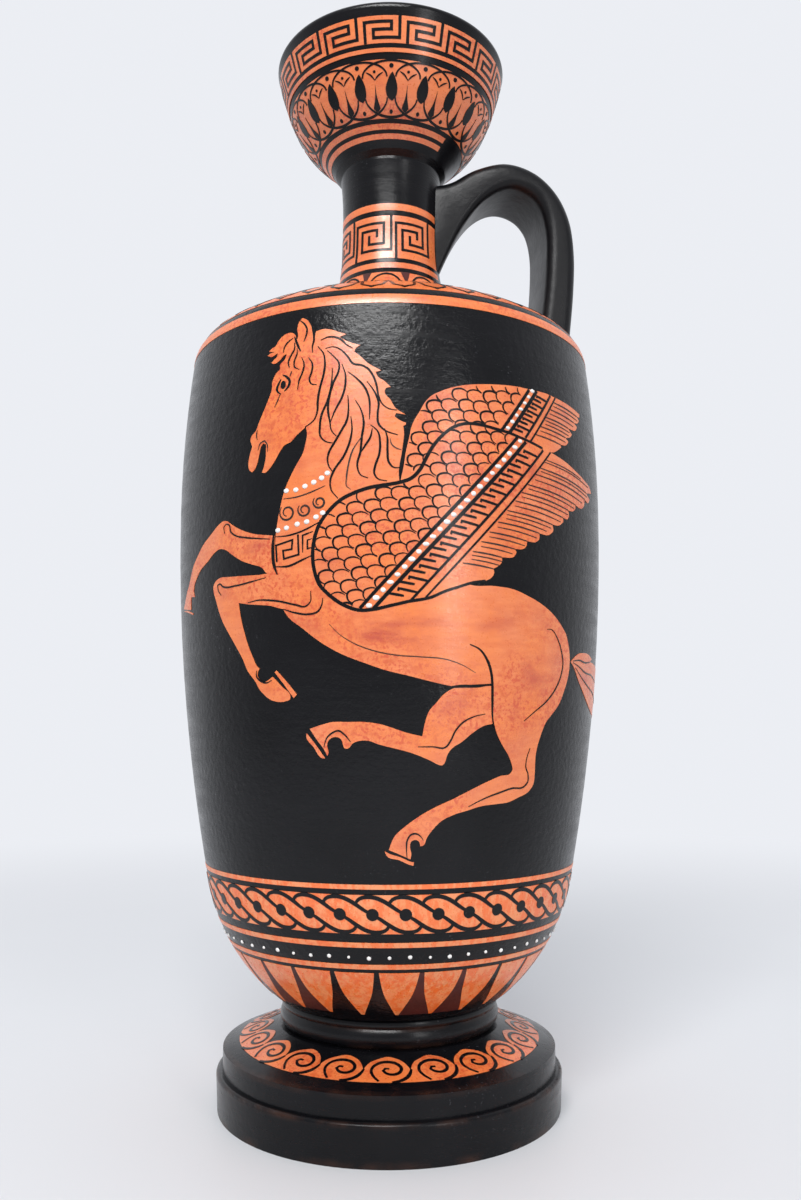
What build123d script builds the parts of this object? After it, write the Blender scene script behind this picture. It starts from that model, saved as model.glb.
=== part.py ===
"""Lekythos: an oil flask thrown in sections and luted together with slip.

The vessel stands on z = 0 with its axis on Z. The handle is on the +X side.
"""
import os
from math import radians, tan

from build123d import *

os.makedirs("parts", exist_ok=True)

# Luting slip that joins the thrown sections
slip = 0.8

# Foot: a stepped disc with a sloping top and a hollow underside
foot_radius = 46.8
foot_step_height = 10.1
foot_ledge = 1.7
foot_upper_height = 5.6
foot_slope_rise = 5.2
foot_slope_radius = 30.0
foot_edge_round = 1.0
foot_top_round = 3.0
rest_width = 9.0
hollow_depth = 8.0
hollow_draft = 4.0
stem_radius = 24.5
stem_height = 3.0

# Moulded ring around the joint of foot and body: a full bead under a slim one
ring_edge_radius = 28.5
ring_groove_radius = 29.1
ring_radius = 29.8
slim_bead_radius = 29.4
full_bead_height = 5.0
slim_bead_height = 2.4

# Body: each rise is counted from the level below it
body_base_radius = 30.3
bowl_radius = 50.0
bowl_rise = 31.7
belly_radius = 59.8
belly_rise = 100.0
shoulder_radius = 56.6
shoulder_rise = 46.7
shoulder_round = 9.0
shoulder_slope = 22.5
shoulder_crown = 2.3
body_wall = 5.0
body_floor = 7.0

# Neck: its lower flare sits on the shoulder
neck_bore_radius = 9.0
neck_flare_radius = 19.5
neck_radius = 14.3
neck_top_radius = 15.0
neck_height = 41.8
neck_waist_height = 25.0

# Mouth: a calyx cup that flares from the neck to a flat lip
mouth_base_radius = 16.6
mouth_middle_radius = 24.7
mouth_lip_radius = 35.0
mouth_height = 34.5
mouth_middle_height = 10.1
mouth_edge_height = 1.4
lip_width = 5.6
lip_round = 1.6
throat_height = 5.0

# Handle: a pulled strap from the neck to the shoulder. It flares down the neck at its root
# and is thinner over the arch
strap_width = 22.0
strap_root_width = 12.5
strap_thickness = 8.4
arch_thickness = 6.8
rising_thickness = 10.0
flare_thickness = 19.5
root_height = 33.0
strap_corner = 2.4
handle_reach = 49.9
handle_landing_radius = 47.2
arch_radius_out = 34.5
arch_above_neck = 0.5
root_below_neck = 18.0
root_bite = 4.0
leg_height = 34.3

# Levels of the joints, from the floor up
upper_level = foot_step_height + foot_upper_height
ring_level = upper_level + foot_slope_rise
foot_height = ring_level + stem_height
groove_level = ring_level + full_bead_height
ring_top = groove_level + slim_bead_height
bowl_level = ring_top + bowl_rise
belly_level = bowl_level + belly_rise
shoulder_level = belly_level + shoulder_rise
upper_radius = foot_radius - foot_ledge

# Foot
hollow_radius = foot_radius - rest_width
with BuildPart() as foot:
    with BuildSketch(Plane.XZ) as foot_section:
        with BuildLine():
            Polyline(
                (0, hollow_depth),
                (hollow_radius - hollow_draft, hollow_depth),
                (hollow_radius, 0),
                (foot_radius - foot_edge_round / 2, 0),
                (foot_radius, foot_step_height),
                (upper_radius, foot_step_height),
                (upper_radius, upper_level),
                (foot_slope_radius, ring_level),
                (stem_radius, ring_level),
                (stem_radius, foot_height),
                (0, foot_height),
                close=True,
            )
        make_face()
        corners = foot_section.vertices()
        ledge_corner = corners.sort_by_distance((foot_radius, foot_step_height))[0]
        top_corner = corners.sort_by_distance((upper_radius, upper_level))[0]
        fillet(ledge_corner, radius=foot_edge_round)
        fillet(top_corner, radius=foot_top_round)
    revolve(axis=Axis.Z)
foot.part.label = "foot"
export_step(foot.part, "parts/foot.step")

# Slip between the foot and the body
with BuildPart() as foot_slip:
    with BuildSketch(Plane.XY.offset(foot_height)):
        Circle(stem_radius)
    extrude(amount=slip)
foot_slip.part.label = "foot_slip"
export_step(foot_slip.part, "parts/foot_slip.step")

# Moulded ring, pressed around the joint and onto the sloping top of the foot
with BuildPart() as foot_ring:
    with BuildSketch(Plane.XZ):
        with BuildLine():
            ThreePointArc(
                (ring_edge_radius, ring_level),
                (ring_radius, ring_level + full_bead_height / 2),
                (ring_groove_radius, groove_level),
            )
            ThreePointArc(
                (ring_groove_radius, groove_level),
                (slim_bead_radius, groove_level + slim_bead_height / 2),
                (ring_edge_radius, ring_top),
            )
            Polyline(
                (ring_edge_radius, ring_top),
                (stem_radius, ring_top),
                (stem_radius, ring_level),
                (ring_edge_radius, ring_level),
            )
        make_face()
    revolve(axis=Axis.Z)
foot_ring.part.label = "foot_ring"
export_step(foot_ring.part, "parts/foot_ring.step")

# Body: stub, bowl, wall and shoulder in one throw
slope_rate = tan(radians(shoulder_slope))
seat_level = shoulder_level + (shoulder_radius - neck_flare_radius) * slope_rate
cavity_floor = foot_height + slip + body_floor


def crowned(start, end):
    """Line of the shoulder from its edge to its inner end, raised in the middle."""
    middle = (Vector(start) + Vector(end)) / 2 + Vector(0, shoulder_crown)
    return ThreePointArc(start, middle, end)


with BuildPart() as body:
    with BuildSketch(Plane.XZ) as body_section:
        with BuildLine():
            belly = (belly_radius, belly_level)
            wall = TangentArc(belly, (bowl_radius, bowl_level), tangent=(0, -1))
            bowl = TangentArc(wall @ 1, (body_base_radius, ring_top), tangent=wall % 1)
            TangentArc(belly, (shoulder_radius, shoulder_level), tangent=(0, 1))
            crowned((shoulder_radius, shoulder_level), (neck_flare_radius, seat_level))
            Polyline(
                (neck_flare_radius, seat_level),
                (0, seat_level),
                (0, foot_height + slip),
                (stem_radius, foot_height + slip),
                (stem_radius, ring_top),
                bowl @ 1,
            )
        make_face()
        shoulder_corner = body_section.vertices().sort_by_distance(
            (shoulder_radius, shoulder_level)
        )
        fillet(shoulder_corner[0], radius=shoulder_round)
    revolve(axis=Axis.Z)
    with BuildSketch(Plane.XZ):
        with BuildLine():
            belly = (belly_radius - body_wall, belly_level)
            wall = TangentArc(belly, (bowl_radius - body_wall, bowl_level), tangent=(0, -1))
            bowl = TangentArc(
                wall @ 1, (body_base_radius - body_wall, cavity_floor), tangent=wall % 1
            )
            inner_edge = (shoulder_radius - body_wall, shoulder_level - body_wall)
            TangentArc(belly, inner_edge, tangent=(0, 1))
            crowned(inner_edge, (neck_bore_radius, seat_level - body_wall))
            Polyline(
                (neck_bore_radius, seat_level - body_wall),
                (0, seat_level - body_wall),
                (0, cavity_floor),
                bowl @ 1,
            )
        make_face()
    revolve(axis=Axis.Z, mode=Mode.SUBTRACT)
    with BuildSketch(Plane.XY.offset(seat_level)):
        Circle(neck_bore_radius)
    extrude(amount=-2 * body_wall, mode=Mode.SUBTRACT)
body.part.label = "body"
export_step(body.part, "parts/body.step")

# Slip between the shoulder and the neck
neck_level = seat_level + slip
with BuildPart() as neck_slip:
    with BuildSketch(Plane.XY.offset(seat_level)):
        Circle(neck_flare_radius)
        Circle(neck_bore_radius, mode=Mode.SUBTRACT)
    extrude(amount=slip)
neck_slip.part.label = "neck_slip"
export_step(neck_slip.part, "parts/neck_slip.step")

# Neck
neck_top = neck_level + neck_height
waist_level = neck_level + neck_waist_height


def neck_outline(gap):
    """Outside of the neck, moved out by gap."""
    return Spline(
        (neck_flare_radius + gap, neck_level),
        (neck_radius + gap, waist_level),
        (neck_top_radius + gap, neck_top),
        tangents=[(-1, 1.1), (0.12, 1)],
    )


with BuildPart() as neck:
    with BuildSketch(Plane.XZ):
        with BuildLine():
            neck_side = neck_outline(0)
            Polyline(
                neck_side @ 1,
                (neck_bore_radius, neck_top),
                (neck_bore_radius, neck_level),
                neck_side @ 0,
            )
        make_face()
    revolve(axis=Axis.Z)
neck.part.label = "neck"
export_step(neck.part, "parts/neck.step")

# Slip between the neck and the mouth
mouth_level = neck_top + slip
with BuildPart() as mouth_slip:
    with BuildSketch(Plane.XY.offset(neck_top)):
        Circle(neck_top_radius)
        Circle(neck_bore_radius, mode=Mode.SUBTRACT)
    extrude(amount=slip)
mouth_slip.part.label = "mouth_slip"
export_step(mouth_slip.part, "parts/mouth_slip.step")

# Mouth: cup with a cylindrical throat that carries the neck's bore on
lip_level = mouth_level + mouth_height
cup_floor = mouth_level + throat_height
with BuildPart() as mouth:
    with BuildSketch(Plane.XZ) as mouth_section:
        with BuildLine():
            Polyline(
                (neck_bore_radius, cup_floor),
                (neck_bore_radius, mouth_level),
                (neck_top_radius, mouth_level),
                (mouth_base_radius, mouth_level + mouth_edge_height),
            )
            Spline(
                (mouth_base_radius, mouth_level + mouth_edge_height),
                (mouth_middle_radius, mouth_level + mouth_middle_height),
                (mouth_lip_radius, lip_level),
                tangents=[(0.6, 1), (0.32, 1)],
            )
            Line((mouth_lip_radius, lip_level), (mouth_lip_radius - lip_width, lip_level))
            Spline(
                (mouth_lip_radius - lip_width, lip_level),
                (neck_bore_radius, cup_floor),
                tangents=[(-0.35, -1), (-1, -0.35)],
            )
        make_face()
        lip_corners = mouth_section.vertices().group_by(Axis.Y)[-1]
        fillet(lip_corners, radius=lip_round)
    revolve(axis=Axis.Z)
mouth.part.label = "mouth"
export_step(mouth.part, "parts/mouth.step")

# Handle: sections of the strap along its path, joined into one pulled shape
landing_share = (handle_landing_radius - neck_flare_radius) / (shoulder_radius - neck_flare_radius)
landing_rise = 4 * landing_share * (1 - landing_share) * shoulder_crown
landing_level = (
    shoulder_level + (shoulder_radius - handle_landing_radius) * slope_rate + landing_rise
)
arch_level = neck_top + arch_above_neck
root = Vector(neck_radius - root_bite, 0, neck_top - root_below_neck)
arch = Vector(arch_radius_out, 0, arch_level)
outer = Vector(handle_reach, 0, landing_level + leg_height)
landing = Vector(handle_landing_radius, 0, landing_level - root_bite)
root_pull = Vector(0.62, 0, 0.78) * (arch.X - root.X) * 0.41
arch_pull = Vector(arch.X - root.X, 0, 0) * 0.37
outer_pull = Vector(outer.X - arch.X, 0, 0) * 0.55
top_pull = Vector(0, 0, arch.Z - outer.Z) * 0.55
leg_pull = Vector(0, 0, leg_height) / 3
with BuildLine():
    rising = Bezier(root, root + root_pull, arch - arch_pull, arch)
    falling = Bezier(arch, arch + outer_pull, outer + top_pull, outer)
    leg = Bezier(outer, outer - leg_pull, landing + leg_pull, landing)
# Each station: stretch, share of it, turn from level to square with the path, width, thickness
arch_station = (rising, 1.0, 1.0, strap_width, arch_thickness)
root_stations = [
    (rising, 0.0, 0.0, strap_root_width, root_height),
    (rising, 0.2, 0.25, strap_root_width + 2, flare_thickness),
    (rising, 0.45, 0.85, (strap_root_width + strap_width) / 2, rising_thickness),
    (rising, 0.7, 1.0, strap_width - 2, (rising_thickness + arch_thickness) / 2),
    arch_station,
]
leg_stations = [
    arch_station,
    (falling, 0.5, 1.0, strap_width, arch_thickness),
    (falling, 1.0, 1.0, strap_width, strap_thickness),
    (leg, 0.5, 1.0, strap_width, strap_thickness),
    (leg, 1.0, 1.0, strap_width, strap_thickness),
]
with BuildPart() as strap:
    for stations in (root_stations, leg_stations):
        for stretch, share, turn, width, thickness in stations:
            facing = Vector(1, 0, 0) * (1 - turn) + (stretch % share) * turn
            station = Plane(origin=stretch @ share, x_dir=(0, 1, 0), z_dir=facing)
            with BuildSketch(station):
                RectangleRounded(width, thickness, strap_corner)
        loft()

# Envelopes of the neck and the shoulder, with the slip that the strap is luted with
with BuildPart() as neck_skin:
    with BuildSketch(Plane.XZ):
        with BuildLine():
            skin_side = neck_outline(slip)
            Polyline(skin_side @ 1, (0, neck_top), (0, neck_level), skin_side @ 0)
        make_face()
    revolve(axis=Axis.Z)
with BuildPart() as neck_core:
    with BuildSketch(Plane.XZ):
        with BuildLine():
            core_side = neck_outline(0)
            Polyline(core_side @ 1, (0, neck_top), (0, neck_level), core_side @ 0)
        make_face()
    revolve(axis=Axis.Z)


def shoulder_shell(gap):
    """Solid ring under the shoulder, its top moved up by gap."""
    with BuildPart() as shell:
        with BuildSketch(Plane.XZ):
            with BuildLine():
                edge = (shoulder_radius, shoulder_level + gap)
                seat = (neck_flare_radius, seat_level + gap)
                crowned(edge, seat)
                under = shoulder_level - 3 * shoulder_round
                Polyline(seat, (neck_flare_radius, under), (shoulder_radius, under), edge)
            make_face()
        revolve(axis=Axis.Z)
    return shell.part


shoulder_skin = shoulder_shell(slip)
shoulder_core = shoulder_shell(0)

with BuildPart() as handle:
    add(strap.part)
    add(neck_skin.part, mode=Mode.SUBTRACT)
    add(shoulder_skin, mode=Mode.SUBTRACT)
handle.part.label = "handle"
export_step(handle.part, "parts/handle.step")

# Slip under the two ends of the handle
with BuildPart() as handle_neck_slip:
    add(strap.part)
    add(neck_skin.part, mode=Mode.INTERSECT)
    add(neck_core.part, mode=Mode.SUBTRACT)
handle_neck_slip.part.label = "handle_neck_slip"
export_step(handle_neck_slip.part, "parts/handle_neck_slip.step")

with BuildPart() as handle_shoulder_slip:
    add(strap.part)
    add(shoulder_skin, mode=Mode.INTERSECT)
    add(shoulder_core, mode=Mode.SUBTRACT)
handle_shoulder_slip.part.label = "handle_shoulder_slip"
export_step(handle_shoulder_slip.part, "parts/handle_shoulder_slip.step")
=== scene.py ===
"""Lekythos: a black oil flask with red-figure painting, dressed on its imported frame.

Drawings are set out in millimetres on a wall: x runs around the flask from the meridian that
faces the viewer, positive to the right, and the second measure is the height z, or the radius
on the shoulder and on the top of the foot.
"""

from math import ceil, cos, hypot, pi, radians, sin

import bmesh
import bpy
import numpy as np
from mathutils import Matrix, Vector
from mathutils.geometry import delaunay_2d_cdt


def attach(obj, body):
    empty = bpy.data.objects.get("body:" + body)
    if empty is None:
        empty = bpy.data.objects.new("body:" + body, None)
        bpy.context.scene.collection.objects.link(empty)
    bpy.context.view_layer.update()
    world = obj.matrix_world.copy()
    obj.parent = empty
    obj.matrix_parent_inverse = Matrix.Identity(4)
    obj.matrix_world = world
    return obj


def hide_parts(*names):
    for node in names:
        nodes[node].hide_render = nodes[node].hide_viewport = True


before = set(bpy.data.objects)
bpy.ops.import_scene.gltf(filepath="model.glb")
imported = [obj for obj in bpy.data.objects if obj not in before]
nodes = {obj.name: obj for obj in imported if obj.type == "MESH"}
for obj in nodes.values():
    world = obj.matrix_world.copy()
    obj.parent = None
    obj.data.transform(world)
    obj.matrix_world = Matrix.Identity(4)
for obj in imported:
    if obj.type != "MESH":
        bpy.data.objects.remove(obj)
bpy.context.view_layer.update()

MM = 0.001

# Meridian that faces the viewer in the row's frame, and the handle's turn from it in degrees
FRONT = radians(-100)
HANDLE = 100

# Paint films: how far each layer stands off the wall and how thick it is, in millimetres
CLAY_LIFT = 0.10
LINE_LIFT = 0.19
WEDGE_LIFT = 0.07
FILM = 0.16

# White dots: how far they stand out in millimetres, their mesh, and where a unit ball is cut flat
PEARL_RISE = 0.34
PEARL_SIDES = 14
PEARL_RINGS = 8
PEARL_CUT = -0.2

# Drawing steps in millimetres
CURVE_STEP = 0.6
FILM_STEP = 2.2
FIGURE_STEP = 1.1
NUDGE = 0.1
MERGE = 0.004

# A turn sharper than this stays a corner, in degrees
SHARP_TURN = 62

# Brush lines: share of a line over which an end thins out, and the limits of a corner's mitre
TIP_SHARE = 0.3
MITRE_FLOOR = 0.3
MITRE_LIMIT = 2

# A line clipped to a region is dropped when it keeps no more points than this
SHORTEST_RUN = 4

# Unevenness of the hand: how fast each measure changes from mark to mark, in radians
SIZE_BEAT = 2.4
LEVEL_BEAT = 1.7
HEIGHT_BEAT = 1.3
ROW_BEAT = 2.1
COLUMN_BEAT = 3.7
DRIFT_BEAT = 4.3

# Films: how far the inner grid leans, how close two points count as one when shapes are cut,
# and the kind of cut that gives triangles
GRID_LEAN = 0.31
CUT_CLOSENESS = 1e-4
ALL_TRIANGLES = 0

# A point of a wall counts as outside when its normal looks outwards by this share
FACING = 0.15

# Walls are read this far past their ends in millimetres, with levels told apart to these decimals
WALL_MARGIN = 4
LEVEL_DECIMALS = 1

# Stripes: rings across a stripe and sides around it
STRIPE_RINGS = 4
STRIPE_SIDES = 180

# Edges sharper than this stay sharp, in degrees: on films, and on rounded pieces
FILM_CREASE = 35
ROUND_CREASE = 50


# Drawing
def ease(start, leave, end, arrive, t):
    """Point at share t of a span that leaves and arrives along the given pulls."""
    return (
        start * (1 + 2 * t) * (1 - t) ** 2
        + leave * t * (1 - t) ** 2
        + end * t * t * (3 - 2 * t)
        + arrive * t * t * (t - 1)
    )


def smooth(points, closed=False):
    """Curve through given points; a turn sharper than SHARP_TURN stays a corner."""
    count = len(points)
    spans = count if closed else count - 1
    at = [Vector(p) for p in points]
    chord = [at[(i + 1) % count] - at[i] for i in range(count)]
    curve = []

    def pull(i, leaving):
        """Direction in which the curve leaves or reaches a point."""
        ahead, behind = chord[i % count], chord[i - 1]
        own = (ahead if leaving else behind).normalized()
        if not closed and i % count in (0, count - 1):
            return own
        if behind.angle(ahead, pi) > radians(SHARP_TURN):
            return own
        blend = behind.normalized() * ahead.length + ahead.normalized() * behind.length
        return blend.normalized()

    for i in range(spans):
        start, end = at[i], at[(i + 1) % count]
        reach = chord[i].length
        leave, arrive = pull(i, True) * reach, pull(i + 1, False) * reach
        steps = max(1, ceil(reach / CURVE_STEP))
        curve += [ease(start, leave, end, arrive, k / steps) for k in range(steps)]
    if not closed:
        curve.append(at[-1])
    return [tuple(p) for p in curve]


def stroke(points, width, tip=0.35, straight=False):
    """Brush line of a given width along points, thinner towards its ends by tip."""
    line = [Vector(p) for p in (points if straight else smooth(points))]
    last = len(line) - 1
    left, right = [], []
    for i, p in enumerate(line):
        before = (p - line[i - 1]).normalized() if i else None
        after = (line[i + 1] - p).normalized() if i < last else None
        before, after = before or after, after or before
        along = (before + after).normalized()
        mitre = min(1 / max(along.dot(after), MITRE_FLOOR), MITRE_LIMIT)
        share = min(i, last - i) / max(1, TIP_SHARE * last)
        press = 1 if straight else tip + (1 - tip) * min(1, share)
        side = Vector((-along.y, along.x)) * width / 2 * press * mitre
        left.append(tuple(p + side))
        right.append(tuple(p - side))
    return left + right[::-1]


def disc(x, y, wide, high=None, sides=16):
    """Round or oval spot with its half width and half height."""
    high = high or wide
    return [
        (x + wide * cos(2 * pi * k / sides), y + high * sin(2 * pi * k / sides))
        for k in range(sides)
    ]


def box(left, right, low, high):
    """Upright rectangle."""
    return [(left, low), (right, low), (right, high), (left, high)]


def moved(points, x, y=0.0):
    """Points shifted along the wall."""
    return [(px + x, py + y) for px, py in points]


def mirrored(points, x):
    """Points on the other side of the upright line at x, in the order that goes on from them."""
    return [(2 * x - u, v) for u, v in points[::-1]]


def inside(point, outline):
    """True where a point lies within a closed outline."""
    x, y = point
    hit = False
    for (ax, ay), (bx, by) in zip(outline, outline[1:] + outline[:1]):
        if (ay > y) != (by > y) and x < (bx - ax) * (y - ay) / (by - ay) + ax:
            hit = not hit
    return hit


def kept_inside(points, outline, cover=None):
    """Longest run of a line within an outline and out from under a cover, or nothing."""
    best, run = [], []
    for p in smooth(points):
        if inside(p, outline) and not (cover and inside(p, cover)):
            run.append(p)
        else:
            run = []
        if len(run) > len(best):
            best = list(run)
    return best[:-1:2] + best[-1:] if len(best) > SHORTEST_RUN else []


def split_long(shape, step):
    """Outline with points added so that no side is longer than a step."""
    result = []
    for a, b in zip(shape, shape[1:] + shape[:1]):
        parts = max(1, ceil(hypot(b[0] - a[0], b[1] - a[1]) / step))
        result += [
            (a[0] + (b[0] - a[0]) * k / parts, a[1] + (b[1] - a[1]) * k / parts)
            for k in range(parts)
        ]
    return result


# Walls
class Wall:
    """Outside of a thrown section, read from its CAD node, with x true at radius ref."""

    def __init__(self, node, low, high, ref, flat_above=None):
        self.ref = ref
        self.girth = 2 * pi * ref
        self.flat = flat_above is not None
        levels = {}
        for v in nodes[node].data.vertices:
            r = hypot(v.co.x, v.co.y) / MM
            z = v.co.z / MM
            if self.flat and z < flat_above:
                continue
            if self.flat:
                key, value, out = r, z, v.normal.z
            else:
                key, value, out = z, r, (v.normal.x * v.co.x + v.normal.y * v.co.y) / (r * MM)
            if out > FACING and low - WALL_MARGIN <= key <= high + WALL_MARGIN:
                step = round(key, LEVEL_DECIMALS)
                levels[step] = max(levels.get(step, (key, 0)), (key, value), key=lambda s: s[1])
        samples = np.array(sorted(levels.values()))
        self.key, self.value = samples.T
        rise = np.diff(self.value) / np.diff(self.key)
        self.slope = np.concatenate((rise[:1], (rise[1:] + rise[:-1]) / 2, rise[-1:]))

    def lay(self, drawn, lift):
        """Row-frame points in metres for drawing points, lifted off the wall."""
        x, key = np.array(drawn, float).T
        i = np.clip(np.searchsorted(self.key, key) - 1, 0, len(self.key) - 2)
        span = self.key[i + 1] - self.key[i]
        t = (key - self.key[i]) / span
        straight = (self.value[i + 1] - self.value[i]) / span
        value = self.value[i] + straight * (key - self.key[i])
        if self.flat:
            lean = np.hypot(1, straight)
            r, z = key - straight / lean * lift, value + lift / lean
        else:
            bow = (1 - t) * (self.slope[i] - straight) - t * (self.slope[i + 1] - straight)
            value = value + bow * span * t * (1 - t)
            slope = self.slope[i] * (1 - t) + self.slope[i + 1] * t
            lean = np.hypot(1, slope)
            r, z = value + lift / lean, key - slope / lean * lift
        turn = FRONT + x / self.ref
        return np.column_stack((r * np.cos(turn), r * np.sin(turn), z)) * MM

    def around(self, turn):
        """Drawing x for a turn in degrees."""
        return radians(turn) * self.ref

    def belt(self, low, high):
        """Band right round the wall."""
        return box(-self.girth / 2, self.girth / 2, low, high)

    def open_at_handle(self, half):
        """Ends of a band that stops half a gap, in degrees, on either side of the handle."""
        return self.around(HANDLE + half - 360), self.around(HANDLE - half)


# Pieces
def only(piece):
    """Selects one piece and makes it active."""
    bpy.ops.object.select_all(action="DESELECT")
    piece.select_set(True)
    bpy.context.view_layer.objects.active = piece


def in_scene(name, data):
    """Object for a mesh, a lamp or a camera, put into the scene."""
    made = bpy.data.objects.new(name, data)
    bpy.context.scene.collection.objects.link(made)
    return made


def face_outwards(piece):
    """Turns all faces of a piece outwards."""
    only(piece)
    bpy.ops.object.mode_set(mode="EDIT")
    bpy.ops.mesh.select_all(action="SELECT")
    bpy.ops.mesh.normals_make_consistent(inside=False)
    bpy.ops.object.mode_set(mode="OBJECT")


def finish_film(piece, skin):
    """Gives a sheet of paint its thickness, its finish and its place on the flask."""
    only(piece)
    bpy.ops.object.modifier_add(type="SOLIDIFY")
    solid = piece.modifiers[-1]
    solid.thickness = FILM * MM
    solid.offset = -1
    bpy.ops.object.modifier_apply(modifier=solid.name)
    bpy.ops.object.shade_smooth_by_angle(angle=radians(FILM_CREASE))
    piece.data.materials.append(skin)
    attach(piece, "root")
    return piece


def wash_at(point, washes):
    """Strength of the thinned red wash at a drawing point."""
    depth = 0
    for x, y, wide, high, strength in washes:
        away = ((point[0] - x) / wide) ** 2 + ((point[1] - y) / high) ** 2
        depth += strength * np.exp(-away)
    return min(depth, 1)


def paint(name, wall, shapes, skin, lift=CLAY_LIFT, washes=(), step=FILM_STEP):
    """Film of paint: flat shapes cut into small triangles and laid on a wall."""
    points, outlines = [], []
    for shape in shapes:
        shape = split_long(shape, step)
        area = sum(a[0] * b[1] - b[0] * a[1] for a, b in zip(shape, shape[1:] + shape[:1]))
        if area < 0:
            shape = shape[::-1]
        outlines.append(range(len(points), len(points) + len(shape)))
        points += shape
    xs, ys = zip(*points)
    if max(ys) - min(ys) > step:
        for gx in np.arange(min(xs), max(xs), step):
            for gy in np.arange(min(ys) + step / 2, max(ys), step):
                points.append((gx + GRID_LEAN * (gy % 1), gy))
    flat = [Vector(p) for p in points]
    corners, _, faces, _, _, source = delaunay_2d_cdt(
        flat, [], outlines, ALL_TRIANGLES, CUT_CLOSENESS, True
    )
    kept = [list(f) for f, owner in zip(faces, source) if owner]
    if wall.flat:
        kept = [f[::-1] for f in kept]
    places = wall.lay([tuple(c) for c in corners], lift)
    mesh = bpy.data.meshes.new(name)
    mesh.from_pydata([tuple(p) for p in places], [], kept)
    if washes:
        tone = mesh.attributes.new("wash", "FLOAT", "POINT")
        tone.data.foreach_set("value", [wash_at(c, washes) for c in corners])
    piece = in_scene(name, mesh)
    edit = bmesh.new()
    edit.from_mesh(mesh)
    bmesh.ops.delete(edit, geom=[v for v in edit.verts if not v.link_faces], context="VERTS")
    bmesh.ops.remove_doubles(edit, verts=edit.verts, dist=MERGE * MM)
    edit.to_mesh(mesh)
    edit.free()
    return finish_film(piece, skin)


def stripe(name, wall, low, high, skin):
    """Stripe that runs right round the flask, turned up from a circle."""
    levels = np.linspace(low, high, STRIPE_RINGS)
    rings = wall.lay([(0, level) for level in levels], CLAY_LIFT)
    sizes = [(hypot(p[0], p[1]), p[2]) for p in rings]
    bpy.ops.object.select_all(action="DESELECT")
    bpy.ops.mesh.primitive_circle_add(
        vertices=STRIPE_SIDES, radius=sizes[0][0], location=(0, 0, sizes[0][1])
    )
    piece = bpy.context.object
    piece.name = name
    bpy.ops.object.transform_apply(location=True)
    bpy.ops.object.mode_set(mode="EDIT")
    bpy.ops.mesh.select_all(action="SELECT")
    for (r0, z0), (r1, z1) in zip(sizes, sizes[1:]):
        bpy.ops.mesh.extrude_region_move(TRANSFORM_OT_translate={"value": (0, 0, z1 - z0)})
        bpy.ops.transform.resize(value=(r1 / r0, r1 / r0, 1), center_override=(0, 0, z1))
    bpy.ops.object.mode_set(mode="OBJECT")
    face_outwards(piece)
    return finish_film(piece, skin)


def pearls(name, wall, spots, skin):
    """Raised dots of thick white: one is modelled and copied to every spot (x, y, wide, high)."""
    bpy.ops.object.select_all(action="DESELECT")
    bpy.ops.mesh.primitive_uv_sphere_add(segments=PEARL_SIDES, ring_count=PEARL_RINGS, radius=1)
    seed = bpy.context.object
    bpy.ops.object.mode_set(mode="EDIT")
    bpy.ops.mesh.select_all(action="SELECT")
    bpy.ops.mesh.bisect(
        plane_co=(0, 0, PEARL_CUT), plane_no=(0, 0, 1), clear_inner=True, use_fill=True
    )
    bpy.ops.object.mode_set(mode="OBJECT")
    whole = bmesh.new()
    for x, y, wide, high in spots:
        corners = wall.lay([(x, y), (x, y + NUDGE), (x + NUDGE, y)], CLAY_LIFT)
        foot, up, side = (Vector(p) for p in corners)
        side = (side - foot).normalized()
        out = side.cross(up - foot).normalized()
        up = out.cross(side)
        place = Matrix.Identity(4)
        for column, axis, size in ((0, side, wide), (1, up, high), (2, out, PEARL_RISE)):
            place.col[column][:3] = axis * size * MM
        place.translation = foot
        before = len(whole.verts)
        whole.from_mesh(seed.data)
        whole.verts.ensure_lookup_table()
        bmesh.ops.transform(whole, matrix=place, verts=whole.verts[before:])
    mesh = bpy.data.meshes.new(name)
    whole.to_mesh(mesh)
    whole.free()
    bpy.data.objects.remove(seed)
    piece = in_scene(name, mesh)
    only(piece)
    bpy.ops.object.shade_smooth_by_angle(angle=radians(ROUND_CREASE))
    mesh.materials.append(skin)
    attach(piece, "root")
    return piece


# Finishes
def put(tree, socket, value):
    """Feeds a socket: another socket is wired to it, a plain value is written into it."""
    if isinstance(value, bpy.types.NodeSocket):
        tree.links.new(value, socket)
    else:
        socket.default_value = value


def node(tree, kind, inputs=None, **settings):
    """New shader node with its settings, and its inputs by name or number."""
    made = tree.nodes.new("ShaderNode" + kind)
    for name, value in settings.items():
        setattr(made, name, value)
    for label, value in (inputs or {}).items():
        put(tree, made.inputs[label], value)
    return made


def reckon(tree, operation, *terms, **settings):
    """Result of one operation on sockets or numbers."""
    sums = node(tree, "Math", dict(enumerate(terms)), operation=operation, **settings)
    return sums.outputs["Value"]


def measure(tree, vector):
    """Length of a vector."""
    return node(tree, "VectorMath", {0: vector}, operation="LENGTH").outputs["Value"]


def above(tree, amount, start, full, **settings):
    """Mask that is empty up to start and whole from full on."""
    ramp = {"Value": amount, "From Min": start, "From Max": full}
    return node(tree, "MapRange", ramp, **settings).outputs["Result"]


def between(tree, amount, low, high):
    """Value that follows a mask from low to high."""
    ramp = {"Value": amount, "To Min": low, "To Max": high}
    return node(tree, "MapRange", ramp).outputs["Result"]


def noise(tree, place, scale, detail, roughness=0.5):
    """Cloudy noise over the surface."""
    values = {"Vector": place, "Scale": scale, "Detail": detail, "Roughness": roughness}
    return node(tree, "TexNoise", values).outputs["Fac"]


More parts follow.
